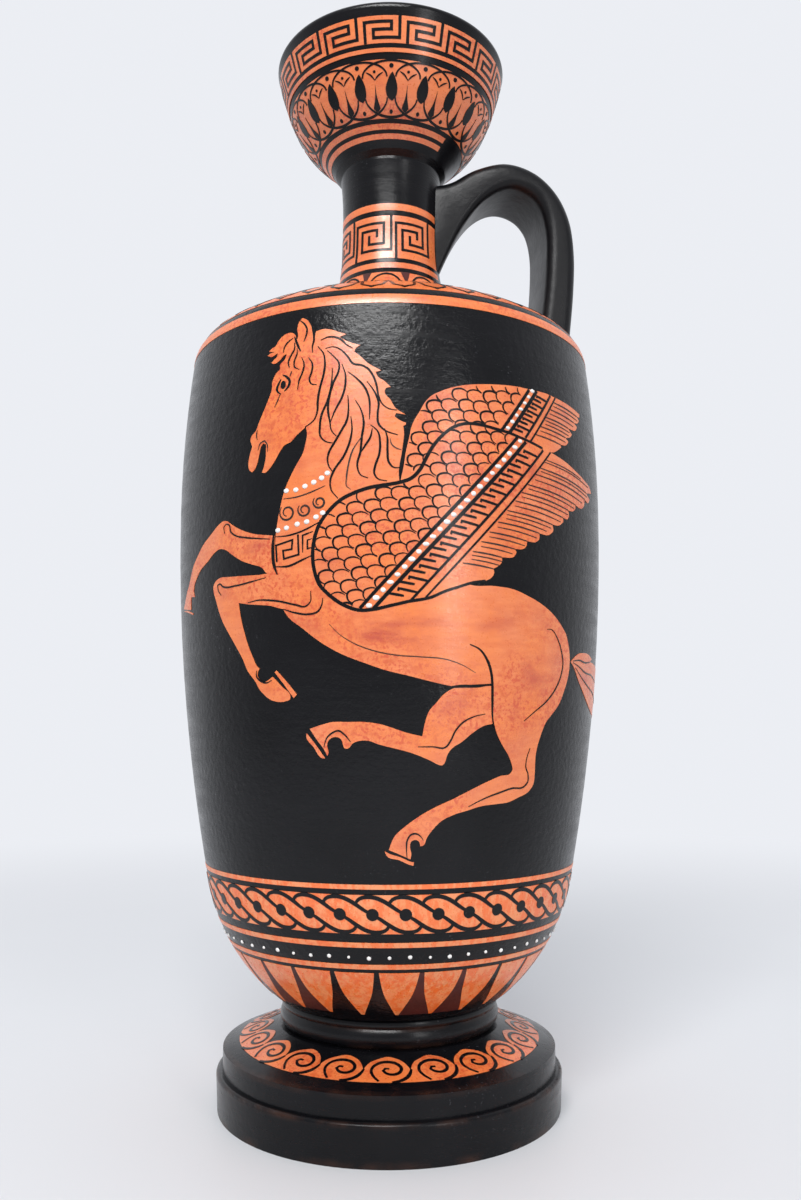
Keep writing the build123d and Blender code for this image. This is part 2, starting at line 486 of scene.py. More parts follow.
def effect(name, inputs, outputs):
    """Empty shader node group with named value inputs and outputs."""
    tree = bpy.data.node_groups.new(name, "ShaderNodeTree")
    for label, value in inputs.items():
        socket = tree.interface.new_socket(label, in_out="INPUT", socket_type="NodeSocketFloat")
        socket.default_value = value
    for label in outputs:
        tree.interface.new_socket(label, in_out="OUTPUT", socket_type="NodeSocketFloat")
    given = tree.nodes.new("NodeGroupInput").outputs
    out = tree.nodes.new("NodeGroupOutput").inputs
    place = node(tree, "TexCoord").outputs["Object"]
    return tree, given, out, place


def build_streaks():
    """Strokes of a wide brush, drawn out around the flask, with a fine grain."""
    sizes = {"Along": 60.0, "Across": 400.0, "Grain": 2500.0}
    tree, given, out, place = effect("Brush streaks", sizes, ["Streak", "Grain"])
    along, across = given["Along"], given["Across"]
    stretch = node(tree, "CombineXYZ", {"X": along, "Y": along, "Z": across}).outputs["Vector"]
    scaled = node(tree, "VectorMath", {0: place, 1: stretch}, operation="MULTIPLY")
    streak = noise(tree, scaled.outputs["Vector"], scale=1, detail=5, roughness=0.65)
    put(tree, out["Streak"], above(tree, streak, start=0.3, full=0.7))
    put(tree, out["Grain"], noise(tree, place, given["Grain"], detail=3))
    return tree


def build_mottle():
    """Cloudy patches and small specks."""
    sizes = {"Cloud": 70.0, "Speck": 900.0}
    tree, given, out, place = effect("Mottle", sizes, ["Cloud", "Speck"])
    for label, detail in (("Cloud", 4), ("Speck", 3)):
        patches = noise(tree, place, given[label], detail, roughness=0.6)
        put(tree, out[label], above(tree, patches, start=0.35, full=0.68))
    return tree


def build_edge_wear():
    """Rubbed slip around one turned edge, given by its radius and height in millimetres."""
    sizes = {"Radius": 46.0, "Height": 10.0, "Reach": 1.5}
    tree, given, out, place = effect("Edge wear", sizes, ["Worn"])
    parts = node(tree, "SeparateXYZ", {"Vector": place}).outputs
    level = node(tree, "CombineXYZ", {"X": parts["X"], "Y": parts["Y"]}).outputs["Vector"]
    squares = []
    for measured, wanted in ((measure(tree, level), "Radius"), (parts["Z"], "Height")):
        in_mm = reckon(tree, "MULTIPLY", measured, 1 / MM)
        away = reckon(tree, "SUBTRACT", in_mm, given[wanted])
        squares.append(reckon(tree, "MULTIPLY", away, away))
    away = reckon(tree, "SQRT", reckon(tree, "ADD", *squares))
    ramp = {"Value": away, "From Max": given["Reach"], "To Min": 1, "To Max": 0}
    near = node(tree, "MapRange", ramp).outputs["Result"]
    ragged = above(tree, noise(tree, place, scale=110, detail=6), start=0.42, full=0.66)
    put(tree, out["Worn"], reckon(tree, "MULTIPLY", near, ragged))
    return tree


STREAKS = build_streaks()
MOTTLE = build_mottle()
EDGE_WEAR = build_edge_wear()


def use(tree, group, **values):
    """Outputs of an effect that is placed in a material with its own values."""
    made = tree.nodes.new("ShaderNodeGroup")
    made.node_tree = group
    for label, value in values.items():
        made.inputs[label].default_value = value
    return made.outputs


def blend(tree, amount, first, second, share=1.0):
    """Colour that goes from first to second with a mask; either may be a socket."""
    mix = node(tree, "Mix", data_type="RGBA")
    put(tree, mix.inputs["Factor"], reckon(tree, "MULTIPLY", amount, share, use_clamp=True))
    for label, colour in (("A", first), ("B", second)):
        socket = next(s for s in mix.inputs if s.name == label and s.type == "RGBA")
        put(tree, socket, (*colour, 1) if isinstance(colour, tuple) else colour)
    return next(s for s in mix.outputs if s.type == "RGBA")


def relief(tree, shader, heights):
    """Bump made of height sockets, each with its depth in millimetres."""
    under = None
    for height, depth in heights:
        bump = node(tree, "Bump", {"Strength": 1, "Distance": depth * MM, "Height": height})
        if under:
            put(tree, bump.inputs["Normal"], under)
        under = bump.outputs["Normal"]
    put(tree, shader.inputs["Normal"], under)


def new_finish(name):
    """Material with its node tree and its shader."""
    skin = bpy.data.materials.new(name)
    skin.use_nodes = True
    return skin, skin.node_tree, skin.node_tree.nodes["Principled BSDF"]


SLIP_BLACK = (0.0026, 0.0026, 0.0036)
SLIP_GREY = (0.0050, 0.0050, 0.0064)
RUBBED_BROWN = (0.060, 0.026, 0.016)
DUST_GREY = (0.10, 0.10, 0.11)
WASH_RED = (0.50, 0.064, 0.028)

# How much rougher the slip is between its brush strokes, and accent paint at its specks
SLIP_ROUGHENING = 0.13
ACCENT_ROUGHENING = 0.15

# Depth of the brush marks and the grain in clay and in accent paint, in millimetres
CLAY_STROKES = 0.014
CLAY_GRAIN = 0.016
ACCENT_GRAIN = 0.02


def slip_finish(
    name,
    edges=(),
    along=55.0,
    across=420.0,
    depth=0.016,
    lumps=0.01,
    lump=650.0,
    satin=0.19,
    gloss=1.33,
):
    """Black slip: brushed, satin, and rubbed brown at the edges (radius, height, reach)."""
    skin, tree, shader = new_finish(name)
    brush = use(tree, STREAKS, Along=along, Across=across, Grain=1900.0)
    cloud = use(tree, MOTTLE, Cloud=45.0, Speck=lump)
    dust = use(tree, MOTTLE, Cloud=30.0, Speck=1500.0)
    colour = blend(tree, cloud["Cloud"], SLIP_BLACK, SLIP_GREY)
    for radius, height, reach in edges:
        rubbed = use(tree, EDGE_WEAR, Radius=radius, Height=height, Reach=reach)
        colour = blend(tree, rubbed["Worn"], colour, RUBBED_BROWN, share=0.6)
    specks = above(tree, dust["Speck"], start=0.95, full=1.0)
    dusty = reckon(tree, "MULTIPLY", specks, above(tree, dust["Cloud"], start=0.4, full=1.0))
    colour = blend(tree, dusty, colour, DUST_GREY, share=0.6)
    put(tree, shader.inputs["Base Color"], colour)
    rough = between(tree, brush["Streak"], satin, satin + SLIP_ROUGHENING)
    put(tree, shader.inputs["Roughness"], rough)
    relief(tree, shader, [(brush["Streak"], depth), (cloud["Speck"], lumps)])
    shader.inputs["IOR"].default_value = gloss
    return skin


def clay_finish(name, tones, wear, along, across, marks, gloss=1.8):
    """Orange clay paint: pinkish patches, brush marks, clouds of red specks and a red wash."""
    skin, tree, shader = new_finish(name)
    pale, pink, deep, red = tones
    brush = use(tree, STREAKS, Along=along, Across=across, Grain=1500.0)
    sweep = use(tree, STREAKS, Along=130.0, Across=300.0, Grain=700.0)
    patch = use(tree, MOTTLE, Cloud=75.0, Speck=1150.0)
    blotch = use(tree, MOTTLE, Cloud=40.0, Speck=420.0)
    colour = blend(tree, patch["Cloud"], pale, pink)
    colour = blend(tree, above(tree, brush["Streak"], *marks), colour, deep, share=0.8)
    clouds = above(tree, blotch["Cloud"], start=0.2, full=0.65)
    specks = above(tree, patch["Speck"], start=0.5, full=0.75)
    colour = blend(tree, reckon(tree, "MULTIPLY", specks, clouds), colour, red, wear)
    spots = above(tree, blotch["Speck"], start=0.55, full=0.9)
    colour = blend(tree, reckon(tree, "MULTIPLY", spots, clouds), colour, deep, wear)
    wash = node(tree, "Attribute", attribute_name="wash").outputs["Fac"]
    swept = above(tree, sweep["Streak"], start=0.2, full=0.7)
    ragged = between(tree, swept, low=0.35, high=1.4)
    colour = blend(tree, reckon(tree, "MULTIPLY", wash, ragged), colour, WASH_RED)
    put(tree, shader.inputs["Base Color"], colour)
    put(tree, shader.inputs["Roughness"], between(tree, patch["Speck"], low=0.26, high=0.38))
    relief(tree, shader, [(brush["Streak"], CLAY_STROKES), (brush["Grain"], CLAY_GRAIN)])
    shader.inputs["IOR"].default_value = gloss
    return skin


def accent_finish(name, deep, pale, rough):
    """Flat accent paint with cloudy tone: dark red wedges, white dots."""
    skin, tree, shader = new_finish(name)
    brush = use(tree, STREAKS, Along=150.0, Across=300.0, Grain=1500.0)
    cloud = use(tree, MOTTLE, Cloud=160.0, Speck=900.0)
    put(tree, shader.inputs["Base Color"], blend(tree, cloud["Cloud"], deep, pale))
    roughness = between(tree, cloud["Speck"], rough, rough + ACCENT_ROUGHENING)
    put(tree, shader.inputs["Roughness"], roughness)
    relief(tree, shader, [(brush["Grain"], ACCENT_GRAIN)])
    return skin


# Rubbed edges: radius, height and reach in millimetres
FOOT_EDGES = ((46.6, 9.6, 1.2), (44.4, 15.4, 1.3), (46.4, 0.5, 1.6))
RING_EDGES = ((29.1, 21.6, 1.4), (29.1, 25.9, 0.9))

# Clay colours: pale, pink, deep and red
CLAY_TONES = (
    (0.865, 0.220, 0.042),
    (0.835, 0.244, 0.090),
    (0.64, 0.108, 0.022),
    (0.60, 0.062, 0.012),
)
PETAL_TONES = (
    (0.90, 0.262, 0.078),
    (0.88, 0.300, 0.115),
    (0.88, 0.135, 0.004),
    (0.80, 0.095, 0.002),
)

BODY_SLIP = slip_finish("brushed_slip", depth=0.035, lumps=0.05)
TURNED_SLIP = slip_finish("turned_slip", along=24.0, across=460.0, depth=0.012, lumps=0.012)
PULLED_SLIP = slip_finish(
    "pulled_slip", along=70.0, across=90.0, lumps=0.045, lump=260.0, satin=0.3, gloss=1.36
)
FOOT_SLIP = slip_finish("rubbed_slip", edges=FOOT_EDGES, depth=0.022, lumps=0.02, gloss=1.3)
RING_SLIP = slip_finish("ring_slip", edges=RING_EDGES, depth=0.016)
LINE_SLIP = slip_finish("line_slip", along=200.0, across=300.0)
CLAY = clay_finish(
    "painted_clay", CLAY_TONES, wear=0.8, along=170.0, across=760.0, marks=(0.1, 1.4)
)
WORN_CLAY = clay_finish(
    "brushed_clay", PETAL_TONES, wear=0.6, along=620.0, across=150.0, marks=(0.42, 0.6)
)
FINE_SLIP = accent_finish(
    "thinned_slip", deep=(0.012, 0.007, 0.006), pale=(0.035, 0.014, 0.009), rough=0.35
)
RED = accent_finish("dark_red", deep=(0.042, 0.006, 0.005), pale=(0.085, 0.012, 0.009), rough=0.4)
WHITE = accent_finish("thick_white", deep=(0.80, 0.78, 0.76), pale=(0.90, 0.89, 0.87), rough=0.45)


# Ornament of the mouth; in each band, turned is how far its pattern is turned, in degrees
MOUTH_WALL = ("mouth", 265, 298)
KEY_STEM = 0.81
KEY_LINE = 0.8

# One unit of the running key, in shares of its pitch and of the band's height
KEY_ROUTE = [
    (KEY_STEM, 1.0), (KEY_STEM, 0.2), (0.2, 0.2), (0.2, 0.5),
    (0.62, 0.5), (0.62, 0.78), (0, 0.78), (0, 0),
]

# One unit of the arcade, from the middle of its band
ARCADE_DROP = [
    (0.35, 3.3), (1.1, 1.8), (1.65, -0.2), (1.35, -2.0), (0.25, -2.9),
    (-1.0, -2.2), (-1.55, -0.6), (-1.0, 1.3), (-0.2, 2.8),
]
ARCADE_WEDGE = [(0, 0.6), (0.3, -2.2), (1.1, -4.3), (0, -4.9), (-1.1, -4.3), (-0.3, -2.2)]
ARCADE_TWIGS = [
    [(-2.2, 3.4), (-1.0, 2.7), (0, 1.5)],
    [(2.2, 3.2), (1.0, 2.5), (0, 1.5)],
]

# Its dots: place in pitches, height, half width and half height
ARCADE_DOTS = [(0, 4.7, 0.55, 0.55), (0, -4.9, 0.55, 0.42), (0.5, 3.4, 0.36, 0.36)]


def lip_key():
    """Running key under the lip, standing on the lower edge of its band, and a thin line."""
    low, high = 288.9, 295.7
    count = 17
    turned = 5
    wall = Wall(*MOUTH_WALL, ref=31.0)
    pitch = wall.girth / count
    paint("lip_key_band", wall, [wall.belt(low, high)], CLAY)
    unit = [(u * pitch, low + v * (high - low)) for u, v in KEY_ROUTE]
    left = wall.around(turned) - KEY_STEM * pitch - (count // 2) * pitch
    lines = [stroke(moved(unit, left + k * pitch), KEY_LINE, straight=True) for k in range(count)]
    paint("lip_key_lines", wall, lines, LINE_SLIP, LINE_LIFT)
    stripe("cup_line", wall, low=286.7, high=287.7, skin=CLAY)


def arcade():
    """Arches that stand and hang around the cup, with drops, wedges, twigs and dots."""
    low, high = 272.7, 285.0
    count = 19
    turned = 1
    arch_line, twig_line = 0.52, 0.4
    arch_reach, arch_rise, arch_off = 0.87, 3.7, 2.2
    arch_points = 15
    wall = Wall(*MOUTH_WALL, ref=26.5)
    pitch = wall.girth / count
    middle = (low + high) / 2
    paint("arcade_band", wall, [wall.belt(low, high)], CLAY)
    turns = np.linspace(0, pi, arch_points)
    arch = [(arch_reach * pitch * cos(a), arch_rise * sin(a)) for a in turns]
    drop = smooth(ARCADE_DROP, closed=True)
    wedge = smooth(ARCADE_WEDGE, closed=True)
    lines = []
    for k in range(count):
        x = wall.around(turned) + (k - count // 2) * pitch
        gap = x + pitch / 2
        hanging = [(x + u, middle - arch_off - v) for u, v in arch]
        lines.append(stroke(moved(arch, x, middle + arch_off), arch_line, tip=0.8))
        lines.append(stroke(hanging, arch_line, tip=0.8))
        lines.append(moved(drop, x, middle))
        lines.append(moved(wedge, gap, middle))
        lines += [stroke(moved(twig, gap, middle), twig_line) for twig in ARCADE_TWIGS]
        lines += [disc(x + u * pitch, middle + v, wide, tall) for u, v, wide, tall in ARCADE_DOTS]
    paint("arcade_lines", wall, lines, LINE_SLIP, LINE_LIFT)


def cup_closing():
    """Two lines that close the cup's painting, broken off at the handle."""
    levels = ((270.7, 271.8), (268.8, 269.9))
    half_gap = 49
    wall = Wall(*MOUTH_WALL, ref=19.5)
    start, end = wall.open_at_handle(half_gap)
    closing = [box(start, end, low, high) for low, high in levels]
    paint("cup_closing_lines", wall, closing, CLAY)


# Ornament of the neck and the shoulder
NECK_WALL = ("neck", 223, 262)


def neck_panel():
    """Stripe, double key panel and stripe on the neck, broken off at the handle."""
    low, high = 234.2, 247.4
    levels = ((249.0, 251.1), (low, high), (230.8, 232.8))
    half_gap = 34
    pitch = 48
    units = range(-5, 2)
    line_width = 0.75
    wall = Wall(*NECK_WALL, ref=14.4)
    start, end = wall.open_at_handle(half_gap)
    bands = [box(start, end, bottom, top) for bottom, top in levels]
    paint("neck_bands", wall, bands, CLAY)
    # The two bent lines of one unit: turn in degrees, then height
    inner = [(7, low), (7, 245.2), (41, 245.2), (41, 238.9), (23.5, 238.9), (23.5, 241.6)]
    outer = [(49.5, high), (49.5, 236.9), (14.5, 236.9), (14.5, 243.1), (33, 243.1), (33, 240.9)]
    lines = []
    for k in units:
        for route in (inner, outer):
            line = [(wall.around(turn + k * pitch), z) for turn, z in route]
            if start < line[0][0] < end and start < line[2][0] < end:
                lines.append(stroke(line, line_width, straight=True))
    paint("neck_key_lines", wall, lines, LINE_SLIP, LINE_LIFT)


def flare_tongues():
    """Short tongues on the flare at the foot of the neck, with red darts between them."""
    count = 9
    turned = -4
    low, high = 223.1, 229.7
    rim = (229.5, 230.9)
    tongue_line, mark_line = 0.6, 0.4
    half_tongue = [(-4.3, 223.2), (-4.5, 225.3), (-3.3, 227.6)]
    tongue = [*half_tongue, (0, 228.9), *mirrored(half_tongue, 0)]
    mark = [(-1.2, 226.1), (0.8, 226.0)]
    dart = [(-1.5, 229.6), (1.5, 229.6), (0.3, 226.2), (-0.3, 226.2)]
    wall = Wall(*NECK_WALL, ref=17.5)
    pitch = wall.girth / count
    paint("flare_band", wall, [wall.belt(low, high)], CLAY)
    lines, darts = [], []
    for k in range(-(count // 2), count // 2 + 1):
        x = wall.around(turned) + k * pitch
        lines.append(stroke(moved(tongue, x), tongue_line, tip=0.9))
        lines.append(stroke(moved(mark, x), mark_line))
        darts.append(moved(dart, x + pitch / 2))
    lines.append(wall.belt(*rim))
    paint("flare_lines", wall, lines, LINE_SLIP, LINE_LIFT)
    paint("flare_darts", wall, darts, RED, LINE_LIFT)


def shoulder_tongues():
    """Long tongues from the neck to the shoulder's edge, each with a bar, and a stripe below."""
    count = 42
    inner, outer, edge = 20.0, 54.4, 55.1
    tongue_start, tongue_bend, tongue_cheek = inner + 1, 49.5, 52.8
    bar_start, bar_end = 28, 45
    tongue_line, bar_line, inner_line = 0.6, 1.2, 1.2
    wall = Wall("body", 20, 55, ref=40.0, flat_above=200)
    pitch = wall.girth / count
    wide = pitch * 0.38
    narrow = wide * 0.75
    paint("shoulder_band", wall, [wall.belt(inner, edge)], CLAY)
    lines = []
    for k in range(count):
        x = (k - count / 2 + 0.5) * pitch
        left = [(x - wide, tongue_start), (x - wide, tongue_bend), (x - narrow, tongue_cheek)]
        tongue = [*left, (x, outer), *mirrored(left, x)]
        lines.append(stroke(tongue, tongue_line, tip=0.9))
        lines.append(stroke([(x, bar_start), (x, bar_end)], bar_line, tip=0.3))
    lines.append(wall.belt(inner, inner + inner_line))
    paint("shoulder_lines", wall, lines, LINE_SLIP, LINE_LIFT)
    upright = Wall("body", 150, 208, ref=57.0)
    stripe("shoulder_stripe", upright, low=202.7, high=205.2, skin=CLAY)


# Ornament of the lower wall and the foot
LOWER_WALL = ("body", 29, 70)
BRAID_RIBBON = [
    (-3.8, 2.7), (-3.2, 3.5), (-2.1, 4.05), (-0.8, 4.2), (0.7, 4.0),
    (2.3, 3.35), (4.0, 2.3), (5.4, 1.3), (6.7, 0.5),
]

# One side of a petal: share of the pitch from its middle line, then height
PETAL_EDGE = [(0.445, 42.7), (0.42, 40.4), (0.35, 36.8), (0.2, 33.4), (0.05, 30.6)]

# One wave of the foot: turn in degrees, then radius
WAVE_CREST = [
    (-9.25, 37.0), (-8.9, 35.7), (-7.3, 33.9), (-4, 32.6), (-0.5, 31.8),
    (3, 32.3), (6.3, 33.7), (8.1, 35.6), (8.75, 37.0),
]
WAVE_COIL = [
    (-3, 40.4), (-5.2, 38.6), (-6.2, 36.8), (-5.5, 35.2), (-3, 34.0), (0.5, 33.7), (3.8, 34.5),
    (5.2, 36.0), (4.4, 37.4), (2, 38.1), (-0.4, 37.7), (-1.7, 36.8), (-1.0, 36.0), (0.6, 36.1),
]
WAVE_FLANK = [(8.9, 36.4), (8.2, 37.8), (6.6, 39.3), (4.2, 40.3), (1.5, 40.7)]


def braid():
    """Twisted braid around studs, with the ground line over it and the dots' lines under it."""
    low, high = 52.6, 61.8
    count = 40
    stud, ribbon_line = 1.45, 0.95
    shift = 0.4
    wall = Wall(*LOWER_WALL, ref=48.5)
    pitch = wall.girth / count
    middle = (low + high) / 2
    stripe("ground_line", wall, low=63.1, high=64.2, skin=WORN_CLAY)
    paint("braid_band", wall, [wall.belt(low, high)], WORN_CLAY)
    lines = []
    for k in range(count):
        x = (k - count // 2 + 0.5) * pitch + shift
        lines.append(disc(x, middle, stud))
        for side in (1, -1):
            bent = [(x + side * u, middle + side * v) for u, v in BRAID_RIBBON]
            lines.append(stroke(bent, ribbon_line, tip=0.75))
    paint("braid_lines", wall, lines, LINE_SLIP, LINE_LIFT)
    stripe("dot_line_above", wall, low=49.2, high=50.4, skin=WORN_CLAY)
    stripe("dot_line_below", wall, low=43.7, high=44.9, skin=WORN_CLAY)


def dot_row():
    """Row of white dots, a little uneven in size and height."""
    count = 59
    height, height_sway = 46.7, 0.15
    size, size_sway = 0.46, 0.1
    shift = 0.1
    wall = Wall(*LOWER_WALL, ref=44.0)
    dots = []
    for k in range(count):
        half = size + size_sway * sin(SIZE_BEAT * k)
        z = height + height_sway * sin(LEVEL_BEAT * k)
        dots.append(((k + shift) * wall.girth / count, z, half, half))
    pearls("band_dots", wall, dots, WHITE)


def petal_ring():
    """Ring of pointed petals, with red wedges in two gaps out of every four."""
    count = 25
    turned = 3.7
    wall = Wall(*LOWER_WALL, ref=40.0)
    pitch = wall.girth / count
    petals, wedges = [], []
    for k in range(-(count // 2), count // 2 + 1):
        x = wall.around(turned) + k * pitch
        side = smooth([(x - pitch * u, z) for u, z in PETAL_EDGE])
        petals.append(side + mirrored(side, x))
        if k % 4 in (1, 2):
            gap = x - pitch / 2
            side = smooth([(gap - pitch * (0.5 - u), z) for u, z in PETAL_EDGE])
            wedges.append(side + mirrored(side, gap))
    paint("petals", wall, petals, WORN_CLAY)
    paint("petal_wedges", wall, wedges, RED, lift=WEDGE_LIFT)


def foot_waves():
    """Running waves on the sloping top of the foot."""
    count = 20
    base = 40.7
    coil_line, flank_line = 0.85, 0.9
    wall = Wall("foot", 31, 43, ref=37.0, flat_above=14)
    pitch = wall.girth / count

    def at_turn(points, x):
        """Points of one wave in drawing measures."""
        return [(x + wall.around(turn), r) for turn, r in points]

    waves, lines = [], []
    for k in range(count):
        x = (k - count // 2) * pitch
        foot = [(x + pitch / 2, base), (x - pitch / 2, base)]
        waves.append(smooth(at_turn(WAVE_CREST, x)) + foot)
        lines.append(stroke(at_turn(WAVE_COIL, x), coil_line, tip=0.6))
        lines.append(stroke(at_turn(WAVE_FLANK, x), flank_line, tip=0.6))
    paint("foot_waves", wall, waves, CLAY)
    paint("foot_wave_lines", wall, lines, LINE_SLIP, LINE_LIFT)


# Winged horse: outlines through given points, x and height
HORSE = [
    (-19.4, 171.9), (-21.9, 169.9), (-23.4, 168.5), (-24.8, 168.0), (-26.2, 166.4), (-27.6, 164.2),
    (-29.1, 162.5), (-30.3, 161.7), (-31.1, 161.9), (-30.5, 163.5), (-30.1, 165.7), (-30.1, 167.4),
    (-30.3, 168.9), (-31.0, 169.2), (-31.6, 168.5), (-32.1, 166.7), (-32.6, 164.6), (-33.4, 163.0),
    (-34.2, 162.4), (-35.0, 163.0), (-35.4, 164.2), (-35.3, 165.7), (-34.9, 167.4), (-34.4, 168.9),
    (-34.7, 169.7), (-35.0, 170.6), (-34.6, 171.7), (-33.5, 172.6), (-32.6, 174.6), (-31.6, 176.7),
    (-30.3, 179.5), (-29.4, 181.7), (-29.1, 183.1), (-29.2, 184.2), (-28.9, 185.2), (-28.2, 186.6),
    (-27.0, 187.8), (-27.2, 188.5), (-25.9, 189.9), (-25.4, 191.4), (-26.3, 191.0), (-27.3, 190.0),
    (-29.1, 189.3), (-29.8, 189.7), (-29.0, 190.4), (-28.2, 191.1), (-28.1, 192.0), (-30.0, 191.3),
    (-31.1, 191.8), (-30.5, 192.2), (-28.7, 192.4), (-30.8, 192.8), (-30.0, 193.5), (-28.9, 193.9),
    (-28.4, 194.8), (-27.3, 196.0), (-25.9, 196.7), (-24.4, 196.7), (-23.4, 196.0), (-23.1, 194.2),
    (-22.6, 195.2), (-22.9, 197.3), (-22.6, 199.1), (-21.7, 200.2), (-20.6, 199.7), (-19.1, 197.7),
    (-18.4, 195.5), (-18.1, 193.9), (-17.8, 196.1), (-15.9, 196.5), (-13.4, 196.0), (-11.6, 195.2),
    (-10.1, 194.7), (-11.7, 194.0), (-9.4, 192.6), (-6.6, 191.6), (-7.6, 190.9), (-8.0, 190.0),
    (-6.6, 188.8), (-4.8, 187.0), (-1.6, 185.0), (-2.8, 184.6), (-2.3, 183.4), (-0.9, 182.4),
    (0.7, 180.8), (-0.5, 180.4), (-0.7, 179.5), (0.6, 177.7), (1.8, 175.6), (4.1, 174.0), (2.0, 174.3),
    (1.6, 173.5), (2.4, 172.8), (4.8, 171.7), (3.6, 171.2), (3.8, 169.2), (3.6, 166.4), (3.2, 163.2),
    (2.7, 158.5), (9.0, 146.0), (19.9, 133.7), (25.4, 133.8), (31.3, 133.3), (35.4, 132.1),
    (39.9, 130.5), (44.0, 128.5), (48.5, 125.3), (50.4, 123.5), (51.7, 121.0), (52.6, 118.0),
    (52.7, 115.5), (52.2, 112.8), (50.8, 109.6), (49.0, 106.5), (45.8, 103.5), (43.8, 101.7),
    (42.6, 99.6), (41.5, 96.9), (40.9, 94.6), (40.8, 92.1), (41.0, 89.4), (40.8, 86.7), (39.2, 85.0),
    (36.0, 83.8), (32.4, 82.7), (28.7, 82.4), (24.2, 82.0), (20.5, 81.1), (16.9, 80.2), (13.7, 78.8),
    (11.5, 76.8), (10.1, 75.0), (9.3, 73.3), (8.5, 73.1), (8.0, 74.3), (7.1, 74.6), (6.0, 74.1),
    (5.8, 73.0), (6.2, 71.4), (6.0, 70.1), (3.3, 71.2), (0.4, 72.3), (1.0, 73.9), (1.9, 75.5),
    (3.3, 76.8), (5.5, 78.4), (8.7, 80.4), (12.4, 82.2), (16.9, 84.0), (21.5, 86.0), (26.0, 87.8),
    (29.6, 89.0), (32.8, 89.7), (33.2, 90.4), (32.8, 91.7), (31.5, 93.9), (29.6, 96.2), (27.8, 98.9),
    (26.5, 102.5), (25.8, 110.5), (20.0, 110.0), (15.4, 110.0), (11.7, 110.7), (5.4, 112.2),
    (-0.8, 113.7), (-5.4, 115.3), (-11.2, 117.6), (-16.2, 120.5), (-20.4, 123.7), (-23.7, 126.2),
    (-24.9, 127.8), (-26.0, 131.0), (-26.8, 137.0), (-27.2, 141.0), (-27.0, 146.0), (-26.5, 149.4),
    (-25.9, 152.3), (-24.8, 156.4), (-23.0, 160.3), (-21.6, 162.8), (-20.1, 165.3), (-19.4, 167.8),
    (-19.1, 169.9),
]
FAR_FORELEG = [
    (-27.4, 146.0), (-34.0, 147.2), (-38.6, 149.0), (-41.1, 150.4), (-42.3, 151.2), (-44.0, 151.5),
    (-45.5, 151.0), (-49.0, 149.0), (-53.2, 146.7), (-56.5, 144.2), (-59.4, 141.9), (-61.1, 139.8),
    (-62.7, 137.7), (-65.2, 135.6), (-67.3, 133.5), (-69.3, 131.9), (-61.9, 130.9), (-61.7, 132.7),
    (-61.5, 134.2), (-58.8, 134.0), (-59.4, 135.4), (-59.0, 136.7), (-57.3, 138.5), (-55.2, 140.2),
    (-50.7, 142.3), (-47.7, 144.0), (-45.7, 144.6), (-43.2, 144.2), (-40.7, 142.7), (-37.3, 140.8),
    (-34.0, 139.6), (-30.7, 138.3), (-30.0, 137.4), (-27.0, 137.0),
]
NEAR_FORELEG = [
    (-26.0, 136.8), (-32.3, 136.9), (-37.3, 137.1), (-42.3, 137.3), (-45.2, 137.4), (-47.3, 136.7),
    (-48.3, 135.6), (-48.2, 134.0), (-47.3, 131.9), (-46.3, 129.4), (-44.8, 126.5), (-42.3, 123.1),
    (-39.8, 119.8), (-37.7, 116.7), (-36.3, 114.0), (-34.8, 112.3), (-33.8, 111.2), (-33.0, 109.8),
    (-31.5, 108.3), (-29.8, 107.1), (-27.7, 106.5), (-25.2, 106.6), (-24.0, 107.1), (-23.9, 107.7),
    (-26.1, 110.0), (-28.0, 111.8), (-28.7, 112.4), (-29.8, 111.7), (-31.1, 111.2), (-32.3, 111.7),
    (-33.2, 112.7), (-33.0, 113.7), (-32.5, 114.4), (-33.4, 115.2), (-34.2, 116.7), (-35.7, 119.8),
    (-36.9, 123.1), (-38.0, 126.9), (-38.6, 130.6), (-35.2, 130.0), (-32.3, 129.7), (-29.0, 129.3),
    (-25.2, 128.3), (-23.0, 128.0), (-22.0, 134.0),
]
FAR_HIND_LEG = [
    (26.2, 110.2), (19.0, 109.9), (15.8, 109.5), (13.3, 108.0), (11.7, 106.2), (10.0, 104.3),
    (9.0, 101.6), (8.4, 98.4), (5.1, 99.1), (1.9, 100.1), (-1.7, 101.2), (-5.8, 101.7), (-9.9, 101.7),
    (-13.1, 101.7), (-15.8, 101.1), (-19.0, 100.1), (-17.2, 97.5), (-15.6, 95.5), (-14.7, 93.9),
    (-14.4, 94.6), (-14.7, 96.2), (-14.4, 97.3), (-13.3, 98.1), (-12.0, 98.2), (-11.0, 97.5),
    (-10.7, 96.4), (-10.4, 95.7), (-9.5, 95.6), (-8.3, 96.8), (-6.3, 97.4), (-4.5, 97.4), (-2.2, 96.6),
    (1.5, 95.7), (5.1, 94.8), (8.3, 93.7), (10.5, 92.8), (12.4, 91.9), (13.5, 91.7), (14.1, 92.3),
    (14.6, 93.9), (15.5, 95.3), (18.3, 97.1), (21.5, 99.5), (24.2, 100.9), (26.4, 101.3),
]
HOOF_SOLES = [
    [(-69.6, 131.3), (-65.0, 130.6), (-60.4, 129.5), (-60.2, 129.9), (-65.0, 131.0)],
    [(-27.5, 113.9), (-24.6, 111.0), (-22.1, 108.1), (-23.0, 107.3), (-25.5, 110.5), (-28.0, 113.4)],
    [(-19.9, 99.1), (-18.0, 96.9), (-15.3, 93.3), (-15.9, 93.3), (-18.2, 95.9), (-20.0, 98.3)],
    [
        (-0.7, 72.0), (0.1, 71.6), (3.4, 70.6), (6.3, 69.5), (6.9, 69.4), (6.8, 68.6), (5.9, 68.8),
        (3.2, 69.9), (-0.2, 71.0),
    ],
]
